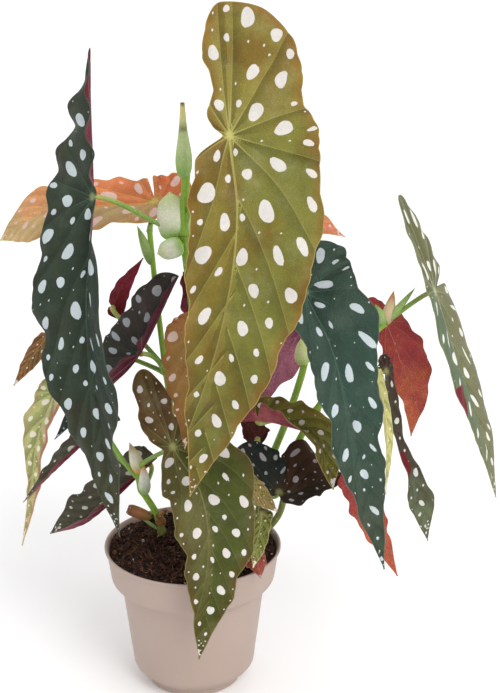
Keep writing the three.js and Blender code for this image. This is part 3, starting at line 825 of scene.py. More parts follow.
class LeafKind(Enum):
    """The sorts of leaf on this plant, by the look of the upper face."""

    OLIVE = LeafFinish(
        "leaf_olive", blade=(115, 114, 49), lobe=(134, 122, 56), narrow=(122, 108, 42), tip=(98, 98, 40),
        margin=(138, 82, 36), vein=(174, 166, 96), dot=(208, 203, 196), blush=(112, 70, 18),
        blush_share=0.55, margin_width=9, painted_shading=0.38, vein_share=0.28, cloud=0.46, painted_sheen=0.13,
    )
    FERN = replace(
        OLIVE, blade=(72, 79, 30), lobe=(110, 81, 49), narrow=(96, 92, 50), tip=(68, 72, 20),
        margin=(92, 60, 26), vein=(134, 136, 84), blush=(52, 62, 26), blush_share=0.45, painted_shading=0.18,
        vein_share=0.22,
    )
    RUST = replace(
        OLIVE, blade=(160, 122, 66), lobe=(170, 118, 72), narrow=(160, 112, 56), tip=(112, 84, 38),
        vein=(148, 116, 60), blush=(152, 96, 46), dot=(208, 184, 168), painted_shading=0.14, vein_share=0.14,
    )
    MOSS = replace(
        OLIVE, blade=(112, 112, 40), lobe=(100, 100, 36), narrow=(96, 92, 36), tip=(98, 108, 34),
        margin=(110, 74, 26), under=(128, 44, 64), under_warm=(184, 104, 104), blush=(84, 60, 24),
        under_vein=0.25,
    )
    DARK = LeafFinish(
        "leaf_dark", blade=(46, 58, 45), lobe=(62, 69, 57), narrow=(44, 58, 48), tip=(68, 62, 37),
        margin=(50, 44, 34), vein=(84, 104, 88), dot=(186, 196, 199), blush=(54, 44, 28), blush_share=0.6,
        margin_width=3, vein_share=0.12, painted_shading=0.24, painted_sheen=0.05,
    )
    TEAL = replace(
        DARK, blade=(50, 72, 61), lobe=(58, 76, 64), narrow=(56, 76, 64), tip=(62, 72, 56),
        vein=(92, 116, 104), blush=(54, 66, 46), blush_share=0.4, painted_shading=0.2,
    )
    DUSK = replace(
        DARK, blade=(58, 58, 52), lobe=(70, 63, 60), narrow=(56, 58, 54), tip=(40, 46, 40),
        dot=(166, 176, 178), under=(92, 26, 46), under_warm=(128, 56, 72),
    )
    BRACKEN = replace(
        DUSK, blade=(68, 58, 46), lobe=(56, 42, 36), narrow=(60, 60, 52), tip=(112, 124, 92),
        margin=(92, 62, 48), vein=(112, 106, 80), dot=(204, 206, 198), turned=(0.45, 0.6), fold_side=-1,
    )
    EBONY = replace(
        DARK, blade=(62, 42, 30), lobe=(32, 42, 38), narrow=(46, 40, 32), tip=(84, 52, 34),
        margin=(30, 22, 18), vein=(60, 62, 40), dot=(150, 146, 148), blush=(30, 24, 20), shine=0.08,
        painted_sheen=0.03,
    )
    SHADE = replace(
        DARK, blade=(84, 82, 68), lobe=(88, 86, 66), narrow=(80, 78, 64), tip=(84, 80, 66),
        vein=(104, 104, 72), dot=(196, 198, 188), under=(116, 20, 44),
    )
    PEWTER = LeafFinish(
        "leaf_olive", blade=(88, 104, 78), lobe=(108, 106, 68), narrow=(110, 108, 68), tip=(114, 112, 76),
        margin=(96, 102, 70), vein=(160, 166, 128), dot=(216, 216, 206), under=(128, 36, 54),
        blush=(96, 98, 56), blush_share=0.5, painted_shading=0.3, painted_sheen=0.1, turned=(0.42, 0.55),
    )
    ORANGE = LeafFinish(
        "leaf_orange", blade=(186, 158, 110), lobe=(210, 108, 66), narrow=(226, 132, 84),
        tip=(208, 176, 124), margin=(198, 112, 76), vein=(188, 180, 84), dot=(216, 182, 170),
        under=(170, 66, 50), under_warm=(206, 120, 84), blush=(190, 104, 60), blush_share=0.35, painted_sheen=0.12,
        painted_shading=0.2, vein_share=0.2,
    )
    PEACH = replace(ORANGE, blade=(222, 128, 98), narrow=(226, 122, 92), tip=(224, 142, 112))
    WINE = LeafFinish(
        "leaf_wine", blade=(92, 84, 52), lobe=(92, 84, 52), narrow=(92, 78, 52), tip=(104, 74, 48),
        margin=(150, 66, 46), vein=(160, 132, 88), dot=(214, 204, 200), under=(190, 76, 80),
        under_warm=(220, 118, 80), under_vein=0.7,
    )
    SALMON = replace(WINE, under=(160, 62, 60), under_warm=(188, 92, 64), under_vein=0.6)
    LIME = LeafFinish(
        "leaf_lime", blade=(184, 190, 122), lobe=(164, 190, 106), narrow=(194, 184, 130),
        tip=(188, 178, 124), margin=(190, 98, 98), vein=(190, 190, 136), dot=(226, 222, 200),
        under=(150, 80, 88), under_warm=(176, 132, 98), blush=(160, 150, 88), blush_share=0.4, painted_sheen=0.12,
        margin_width=5, turned=(0.08, 1.5), fold=(178, 108, 104), fold_depth=1.9, fold_side=-1,
    )
    CREAM = replace(
        LIME, blade=(206, 202, 128), lobe=(196, 196, 120), narrow=(214, 206, 140), tip=(210, 200, 150),
        margin=(196, 190, 104), under=(214, 204, 140), under_warm=(222, 214, 150), blush=(186, 186, 110),
        turned=(0, 0),
    )
    MOTTLED = replace(
        LIME, blade=(112, 124, 44), lobe=(98, 116, 34), narrow=(124, 128, 52), tip=(136, 134, 72),
        margin=(130, 100, 50), blush=(78, 84, 26), blush_share=0.6, turned=(0, 0),
    )
    BRONZE = LeafFinish(
        "leaf_bronze", blade=(128, 92, 46), lobe=(124, 96, 50), narrow=(140, 92, 52), tip=(146, 90, 54),
        margin=(140, 72, 48), vein=(168, 140, 88), dot=(220, 206, 198), under=(128, 44, 44),
        under_warm=(160, 84, 66),
    )
    STRAW = replace(
        BRONZE, blade=(128, 120, 62), lobe=(118, 112, 56), narrow=(138, 122, 76), tip=(140, 120, 78),
        margin=(158, 132, 84),
    )
    MAUVE = LeafFinish(
        "leaf_mauve", blade=(96, 62, 78), lobe=(104, 66, 84), narrow=(90, 60, 74), tip=(110, 70, 84),
        margin=(120, 60, 76), vein=(150, 110, 116), dot=(206, 190, 198), under=(136, 66, 98),
        under_warm=(178, 108, 130), painted_sheen=0.08,
    )
    MAROON = LeafFinish(
        "leaf_maroon", blade=(60, 30, 34), lobe=(56, 30, 34), narrow=(70, 32, 38), tip=(90, 34, 40),
        margin=(120, 30, 44), vein=(120, 70, 70), dot=(170, 150, 156), under=(62, 24, 20),
        under_warm=(92, 40, 32), under_vein=0.2, painted_sheen=0.04,
    )
    CRIMSON = replace(MAROON, under=(112, 10, 24), under_warm=(150, 44, 62), under_vein=0.12)
    BLUSHING = replace(
        MAROON, blade=(150, 60, 56), lobe=(140, 84, 50), narrow=(160, 76, 66), tip=(170, 70, 70),
        margin=(132, 96, 50), vein=(186, 116, 90), blush=(110, 90, 40), blush_share=0.5,
    )


# ---- leaves ----

# Where half widths are given along a leaf: -1 at the end of its lobe, 0 at the stalk, 1 at the tip.
STATIONS = np.array([-1, -0.85, -0.6, -0.3, 0, 0.25, 0.5, 0.75, 1])
WIDE_OUTLINE = np.array([0.64, 0.8, 0.88, 1, 0.95, 0.76, 0.42])
NARROW_OUTLINE = np.array([0.34, 0.44, 0.48, 0.85, 1, 0.9, 0.5])
CROWN_CAP_START = 0.72
NOTCH_ABOVE = 0.25
NOTCH_BELOW = 0.07
LEAF_END_HALF_WIDTH = 0.5
LOBE_CROWDING = 1.6
LEAST_LOBE_ROWS = 12
LEAST_BLADE_ROWS = 24
LEAST_HALF_COLUMNS = 7
TANGENT_STEP = 0.02
QUILT_REACH = 4.5
PART_SIZE = 3000
# A distance that stands for out of reach.
FAR = 50.0


def along(ends: Ends, u: Array) -> Array:
    """A value that runs from the crown's, through the stalk's, to the tip's."""
    crown, stalk, tip = ends if isinstance(ends, tuple) else (ends,) * 3
    return np.where(u < 0, stalk + (crown - stalk) * -u, stalk + (tip - stalk) * u)


def profile(widths: Array, u: Array) -> Array:
    """A smooth curve through half widths at the stations, down to nothing at the tip.

    Each stretch is a cubic whose end slopes are those between the stations on either side.

    Args:
        widths: Half widths at all the stations but the first, which repeats the second, and the
            last, which is 0.
        u: Places along the leaf, from -1 to 1.

    Returns:
        The half width at each place.
    """
    heights = np.array([widths[0], *widths, 0])
    last = len(STATIONS) - 1
    index = np.arange(last + 1)
    low, high = np.maximum(index - 1, 0), np.minimum(index + 1, last)
    slope = (heights[high] - heights[low]) / (STATIONS[high] - STATIONS[low])
    start = np.clip(np.searchsorted(STATIONS, u, side="right") - 1, 0, last - 1)
    span = STATIONS[start + 1] - STATIONS[start]
    t = (u - STATIONS[start]) / span
    rise = t * t * (3 - 2 * t)
    bend = slope[start] * t * (1 - t) ** 2 - slope[start + 1] * t * t * (1 - t)
    return heights[start] * (1 - rise) + heights[start + 1] * rise + span * bend


def heading(azimuth: Array, elevation: Array) -> Array:
    """Unit vectors for azimuths and elevations; azimuth 0 is -Y and 90 is +X."""
    a, e = np.radians(azimuth), np.radians(elevation)
    return np.stack([np.sin(a) * np.cos(e), -np.cos(a) * np.cos(e), np.sin(e)], axis=-1)


def in_parts(measure: Callable[[Array], Array], flat: Array) -> Array:
    """Measures the points of a grid a few thousand at a time, to spare memory.

    Args:
        measure: Gives one value or one row for each point.
        flat: The grid of points.

    Returns:
        The measures as a grid.
    """
    points = flat.reshape(-1, 2)
    parts = np.array_split(points, max(len(points) // PART_SIZE, 1))
    found = np.concatenate([measure(part) for part in parts])
    return found.reshape(*flat.shape[:2], *found.shape[1:])


@dataclass(frozen=True)
class VeinPlan:
    """Where veins leave the stalk and the midrib, in degrees from the line to the tip.

    The half widths are those of the midrib, of the veins from the stalk and of those from the
    midrib, on a leaf that is full_size millimetres wide or more. A vein loses the share thinning
    of its width by its end.
    """

    wide_fan: Row = (173, 145, 108, 68, 38)
    narrow_fan: Row = (176, 150, 118, 62, 22)
    wide_sides: Row = (0.16, 0.33, 0.5, 0.66, 0.8, 0.91)
    narrow_sides: Row = (0.24, 0.41, 0.57, 0.72, 0.85)
    side_angle: float = 28.0
    bow: float = 9.0
    half_widths: Triple = (0.95, 0.62, 0.45)
    full_size: float = 80.0
    least_size: float = 0.45
    thinning: float = 0.75
    steps: int = 14

    def path(self, start: float, angle: float, side: float, length: float) -> Array:
        """A vein that bows gently towards the tip, on the flattened leaf.

        Its direction swings evenly from angle by bow, and its points are the running sum of
        short steps that way.

        Args:
            start: How far along the midrib it leaves, in millimetres.
            angle: The first direction, in degrees from the tip.
            side: 1 to the right and -1 to the left.
            length: Its length in millimetres.

        Returns:
            Points as (along, across) pairs.
        """
        share = np.linspace(0, 1, self.steps)
        turn = np.radians(angle - self.bow * share * (1 if angle < 120 else -0.6))
        move = np.stack([np.cos(turn), side * np.sin(turn)], axis=-1) * length / (self.steps - 1)
        return np.array([start, 0.0]) + np.vstack([np.zeros(2), np.cumsum(move[:-1], axis=0)])


@dataclass(frozen=True)
class Spots:
    """The spots of a leaf: radii in millimetres from large to small, and the gap between them.

    They shrink by the taper towards the tip and to the share behind past the stalk. Of each radius
    there are at most so many, out of a number of tries. Flecks crowd the tip past fleck_start.
    """

    radii: Row = (2.8, 2.1, 1.2, 0.55)
    gaps: Row = (7.5, 5.5, 4.0, 3.2)
    most: tuple[int, ...] = (14, 20, 18, 24)
    stretch: float = 1.7
    seed: int = 1
    taper: float = 0.4
    behind: float = 1.0
    flecks: int = 9
    fleck_start: float = 0.9
    fleck_radii: Pair = (0.35, 0.75)
    tries: int = 1500


@dataclass
class Sheet:
    """A leaf's middle surface, with its measures at every point, in millimetres."""

    middle: Array
    facing: Array
    flat: Array
    edge: Array
    vein: Array
    centre: Array
    grain: Array


@dataclass(frozen=True)
class Leaf:
    """A leaf: its midrib, its half widths and how it faces, folds and ripples."""

    name: str
    kind: LeafKind
    spine: tuple[Point, ...]
    wide: float | Row
    narrow: float | Row
    wide_side: int = 1
    notch: float = 0.2
    azimuth: Ends = 0
    elevation: Ends = (20, 10, 0)
    fold_wide: Ends = (12, 14, 8)
    fold_narrow: Ends = (12, 14, 8)
    curl: float = -12
    waves: float = 4
    wave: float = 1
    ripples: float = 3.5
    ripple: float = 1.2
    phase: float = 0
    teeth: float = 0.7
    tooth_pitch: float = 11.0
    quilt: float = 1.6
    cleft: float = 1.0
    thickness: float = 0.5
    grid_step: float = 1.3
    veins: VeinPlan = VeinPlan()
    spots: Spots = Spots()

    def midrib(self, u: Array) -> tuple[Array, Array, Array]:
        """The midrib and the way the blade lies on it.

        The facing is the heading for u made square to the midrib, and right is facing x tangent.

        Args:
            u: Places along the leaf, from -1 to 1.

        Returns:
            Points, right-hand directions and facings.
        """
        spine = np.array(self.spine)
        spans = len(spine) - 1

        def at(value: Array) -> Array:
            """The midrib's points."""
            value = np.clip(value, -1, 1)
            return catmull_rom(spine, np.where(value < 0, 1 + value, 1 + value * (spans - 1)))

        tangent = unit(at(u + TANGENT_STEP) - at(u - TANGENT_STEP))
        facing = heading(along(self.azimuth, u), along(self.elevation, u))
        facing = unit(facing - tangent * np.sum(facing * tangent, axis=-1, keepdims=True))
        return at(u), np.cross(facing, tangent), facing

    def half_width(self, u: Array, is_wide: bool) -> Array:
        """Half width of one side: its outline, capped round at the crown and cut by the notch.

        The cap is a quarter circle, sqrt(1 - past * past), and the cut is a smooth dip to the
        notch's share at the stalk, on the narrow side only.

        Args:
            u: Places along the leaf, from -1 to 1.
            is_wide: True for the wide side.

        Returns:
            Half widths in millimetres.
        """
        given = self.wide if is_wide else self.narrow
        common = WIDE_OUTLINE if is_wide else NARROW_OUTLINE
        widths = np.array(given) if isinstance(given, tuple) else common * given
        past = np.maximum(-u - CROWN_CAP_START, 0) / (1 - CROWN_CAP_START)
        cap = np.sqrt(np.maximum(1 - past * past, 0))
        notch = np.where(u < 0, NOTCH_ABOVE, NOTCH_BELOW) * self.cleft
        reach = smooth(np.abs(u) / notch, 0, 1) ** 0.7
        cut = 1 if is_wide else self.notch + (1 - self.notch) * reach
        return profile(widths, u) * cap * cut

    def span(self, u: Array, is_wide: bool) -> float:
        """The greatest half width of one side."""
        return float(self.half_width(u, is_wide).max())

    def margin(self, u: Array, run: Array, side: int, half: Array) -> Array:
        """How far the margin's waves and teeth stand out, in millimetres.

        The waves are two sines of different pitch along the leaf. The teeth are rounded bumps,
        |sin|, on a slowly wandering pitch. Both fade out towards the ends and where the blade is
        narrow.

        Args:
            u: Places along the leaf, from -1 to 1.
            run: The same places in millimetres from the stalk.
            side: 1 to the right and -1 to the left.
            half: The plain half width there.

        Returns:
            The change of half width.
        """
        fade = np.minimum(1, 4 * (1 - np.abs(u)))
        turns = TURN * (self.waves * run / run[-1] + self.phase + (0 if side > 0 else 0.37))
        wave = self.wave * (np.sin(turns) + 0.5 * np.sin(1.7 * turns + 1))
        wander = 0.25 * np.sin(run / 17 + 5 * self.phase)
        bumps = np.abs(np.sin(np.pi * (run / self.tooth_pitch + 0.3 * side + self.phase + wander)))
        return fade * (wave + self.teeth * (bumps - 0.64)) * np.minimum(1, half / 12)

    def rows(self) -> Array:
        """Places along the leaf: -cos of even angles behind the stalk, and even steps past it.

        Returns:
            Places from -1 to 1.
        """
        steps = np.diff(running_length(np.array(self.spine)))
        lobe = max(int(LOBE_CROWDING * steps[0] / self.grid_step), LEAST_LOBE_ROWS)
        blade = max(int(steps[1:].sum() / self.grid_step), LEAST_BLADE_ROWS)
        behind = -np.cos(np.linspace(0, math.pi / 2, lobe + 1))
        return np.concatenate([behind, np.linspace(0, 1, blade + 1)[1:]])

    def sheet(self) -> Sheet:
        """The middle surface on a grid.

        A point is midrib + right * side * reach * cos(bend) + facing * (reach * sin(bend) +
        ripple), where reach is the half width times the share v across, bend is the fold plus
        half the curl times v, and the ripple is a sine along the leaf times v squared. The blade
        then rises between the veins by quilt * (1 - exp(-distance to a vein / QUILT_REACH)), and
        less near the margin, the crown and the tip.

        Returns:
            The surface and its measures.
        """
        u = self.rows()
        at, right, facing = self.midrib(u)
        spread = max(self.span(u, True), self.span(u, False))
        half_columns = max(int(spread / self.grid_step), LEAST_HALF_COLUMNS)
        v = np.linspace(-1, 1, 2 * half_columns + 1)
        length = running_length(at)
        length -= np.interp(0, u, length)
        signed, across, lift = np.empty((3, len(u), len(v)))
        for side in (-1, 1):
            columns = np.nonzero(v * side >= 0)[0]
            share = np.abs(v[columns])[None]
            is_wide = side == self.wide_side
            half = self.half_width(u, is_wide)
            half = half + self.margin(u, length, side, half)
            reach = np.maximum(half, LEAF_END_HALF_WIDTH)[:, None] * share
            fold = np.radians(along(self.fold_wide if is_wide else self.fold_narrow, u))[:, None]
            bend = fold + math.radians(self.curl) * share * 0.5
            sine = np.sin(TURN * (self.ripples * u + self.phase + (0.5 if side > 0 else 0)))
            ripple = (self.ripple * np.minimum(1, 3 * (1 - np.abs(u))) * sine)[:, None] * share**2
            signed[:, columns] = side * reach
            across[:, columns] = side * reach * np.cos(bend)
            lift[:, columns] = reach * np.sin(bend) + ripple
        sideways = right[:, None] * across[..., None]
        middle = at[:, None] + sideways + facing[:, None] * lift[..., None]
        flat = np.stack([np.broadcast_to(length[:, None], signed.shape), signed], axis=-1)
        edge = self.edge_distance(flat)
        vein, grain, centre = self.vein_distance(flat, length[0], length[-1])
        away = np.hypot(centre, 0.7) - 0.7
        rise = self.quilt * (1 - np.exp(-away / QUILT_REACH)) * (0.35 + 0.65 * smooth(edge, 0, 7))
        rise *= np.minimum(1, 4 * (1 - np.abs(u)))[:, None]
        middle = middle + self.normals(middle) * rise[..., None]
        return Sheet(middle, self.normals(middle), flat, edge, vein, centre, grain)

    @staticmethod
    def normals(middle: Array) -> Array:
        """Unit normals of a grid, towards the upper face."""
        return unit(np.cross(np.gradient(middle, axis=0), np.gradient(middle, axis=1)))

    @staticmethod
    def edge_distance(flat: Array) -> Array:
        """Distance of each point from the nearest point of the outline.

        Args:
            flat: The flattened leaf's points.

        Returns:
            Distances in millimetres.
        """
        outline = np.concatenate([flat[:, 0], flat[:, -1], flat[0], flat[-1]])

        def nearest(part: Array) -> Array:
            """The distance of some of the points."""
            return np.sqrt(((part[:, None] - outline[None]) ** 2).sum(-1).min(1))

        return in_parts(nearest, flat)

    def vein_lines(self, crown: float, tip: float) -> list[tuple[Array, float]]:
        """Every vein on the flattened leaf.

        Args:
            crown: The lobe's end along the midrib, below 0.
            tip: The tip along the midrib.

        Returns:
            Each vein's points, with its half width where it starts.
        """
        plan = self.veins
        widest = {is_wide: self.span(np.linspace(-1, 1, 80), is_wide) for is_wide in (True, False)}
        size = min(max(sum(widest.values()) / plan.full_size, plan.least_size), 1.0)
        main_half, fan_half, side_half = (half * size for half in plan.half_widths)
        lines = [(plan.path(0, 0, 1, tip * 0.985), main_half)]
        for is_wide in (True, False):
            side = self.wide_side if is_wide else -self.wide_side
            for angle in plan.wide_fan if is_wide else plan.narrow_fan:
                slope = max(abs(math.sin(math.radians(angle))), 0.05)
                room = -crown if angle > 100 else tip
                length = min(1.3 * widest[is_wide] / slope, room * 1.05)
                lines.append((plan.path(0, angle, side, length), fan_half))
            for share in plan.wide_sides if is_wide else plan.narrow_sides:
                slope = math.sin(math.radians(plan.side_angle))
                length = min(1.2 * widest[is_wide] / slope, tip * (1.02 - share))
                lines.append((plan.path(tip * share, plan.side_angle, side, length), side_half))
        return lines

    def vein_distance(self, flat: Array, crown: float, tip: float) -> tuple[Array, Array, Array]:
        """Distances from the nearest vein.

        Args:
            flat: The flattened leaf's points.
            crown: The lobe's end along the midrib, below 0.
            tip: The tip along the midrib.

        Returns:
            The distance from the nearest vein's centre line, over its half width and below 0 on
            its left, the vein's direction, and the plain distance in millimetres.
        """
        lines = self.vein_lines(crown, tip)
        start = np.vstack([line[:-1] for line, _ in lines])
        run = np.vstack([line[1:] for line, _ in lines]) - start
        thinning = self.veins.thinning
        taper = [half * (1 - thinning * np.linspace(0, 1, len(line) - 1)) for line, half in lines]
        square = (run**2).sum(-1)

        def nearest(part: Array) -> Array:
            """Finds the nearest stretch of vein.

            Args:
                part: Some of the points.

            Returns:
                The stretch's place, the side of it and the distance, one row for each point.
            """
            away = part[:, None] - start[None]
            share = np.clip((away * run[None]).sum(-1) / square, 0, 1)
            distance = np.sqrt(((away - share[..., None] * run[None]) ** 2).sum(-1))
            place = distance.argmin(1)
            every = np.arange(len(part))
            offset, ahead = away[every, place], run[place]
            turn = np.sign(ahead[:, 0] * offset[:, 1] - ahead[:, 1] * offset[:, 0])
            return np.stack([place, turn, distance[every, place]], axis=-1)

        place, turn, centre = np.moveaxis(in_parts(nearest, flat), -1, 0)
        place = place.astype(int)
        return turn * centre / np.concatenate(taper)[place], unit(run)[place], centre

    def spot_distance(self, sheet: Sheet) -> Array:
        """Distance outside the nearest spot at each point, in millimetres.

        Spots are set down one at a time at random grid points, large ones first, wherever the
        margin, the veins and the other spots leave room, and smaller towards the tip. A spot is
        an oval along the nearest vein, with a slightly uneven outline:
        radius * (1 + 0.08 sin 2a + 0.06 sin 3a). A few flecks crowd the very tip.

        Args:
            sheet: The leaf's surface.

        Returns:
            Distances, below 0 inside a spot.
        """
        rng = np.random.default_rng(self.spots.seed)
        flat, grain = sheet.flat.reshape(-1, 2), sheet.grain.reshape(-1, 2)
        edge, vein = sheet.edge.ravel(), sheet.centre.ravel()
        share = np.maximum(flat[:, 0] / flat[:, 0].max(), 0)
        shrink = np.where(flat[:, 0] < 0, self.spots.behind, 1 - self.spots.taper * share**1.5)
        distance = np.full(len(flat), FAR)
        for radius, gap, most in zip(self.spots.radii, self.spots.gaps, self.spots.most):
            order = rng.permutation(len(flat))
            free = (edge > radius * 1.1 + min(1.4, radius)) & (vein > radius * 0.8 + min(0.8, radius))
            placed = 0
            for index in order[free[order]][: self.spots.tries]:
                size = radius * rng.uniform(0.8, 1.2) * shrink[index]
                if distance[index] < size + gap:
                    continue
                long = math.sqrt(1 + (self.spots.stretch - 1) * rng.uniform(0.2, 1.6))
                away, ahead = flat - flat[index], grain[index]
                x = away @ ahead / (size * long)
                y = away @ np.array([-ahead[1], ahead[0]]) / (size / long)
                angle = np.arctan2(y, x)
                turn = rng.uniform(0, TURN, 2)
                uneven = 1 + 0.08 * np.sin(2 * angle + turn[0]) + 0.06 * np.sin(3 * angle + turn[1])
                distance = np.minimum(distance, (np.hypot(x, y) / uneven - 1) * size / long)
                placed += 1
                if placed >= most:
                    break
        tip = rng.permutation(np.flatnonzero((share > self.spots.fleck_start) & (edge > 0.4)))
        for index in tip[: self.spots.flecks]:
            away = np.linalg.norm(flat - flat[index], axis=1)
            distance = np.minimum(distance, away - rng.uniform(*self.spots.fleck_radii))
        return distance.reshape(sheet.edge.shape)

    def build(self) -> None:
        """Makes the blade: the middle surface moved up and down by half its thickness."""
        sheet = self.sheet()
        rows, columns, _ = sheet.middle.shape
        count = rows * columns
        half = (self.thickness / 2) * (0.5 + 0.5 * smooth(sheet.edge, 0, 1.6))[..., None]
        faces = [sheet.middle + sheet.facing * half, sheet.middle - sheet.facing * half]
        side = np.linspace(-1, 1, columns)[None] * self.wide_side
        measures = {
            "along": np.broadcast_to(self.rows()[:, None], (rows, columns)),
            "across": np.broadcast_to(side, (rows, columns)),
            "edge": sheet.edge,
            "vein": sheet.vein,
            "centre": sheet.centre,
            "hub": np.hypot(sheet.flat[..., 0], sheet.flat[..., 1]),
            "dot": self.spot_distance(sheet),
        }
        both = {key: np.tile(value.ravel(), 2) for key, value in measures.items()}
        top = grid_faces(rows, columns, flip=True)
        under = (np.array(grid_faces(rows, columns)) + count).tolist()
        border = [
            *range(columns - 1),
            *range(columns - 1, count - 1, columns),
            *range(count - 1, count - columns, -1),
            *range(count - columns, 0, -columns),
        ]
        rim = [[a, b, b + count, a + count] for a, b in zip(border, border[1:] + border[:1])]
        shell = Shell()
        shell.add(np.vstack([face.reshape(-1, 3) for face in faces]) * MM, top + rim, **both)
        shell.faces += under
        shell.surfaces += [1] * len(under)
        label, finish = self.name.removeprefix("leaf_"), self.kind.value
        materials = [
            finish.upper(f"leaf_upper_{label}"),
            finish.lower(f"leaf_under_{label}"),
        ]
        place_piece(f"{self.name}_blade", shell.mesh(self.name), materials, finish.slot, self.name)


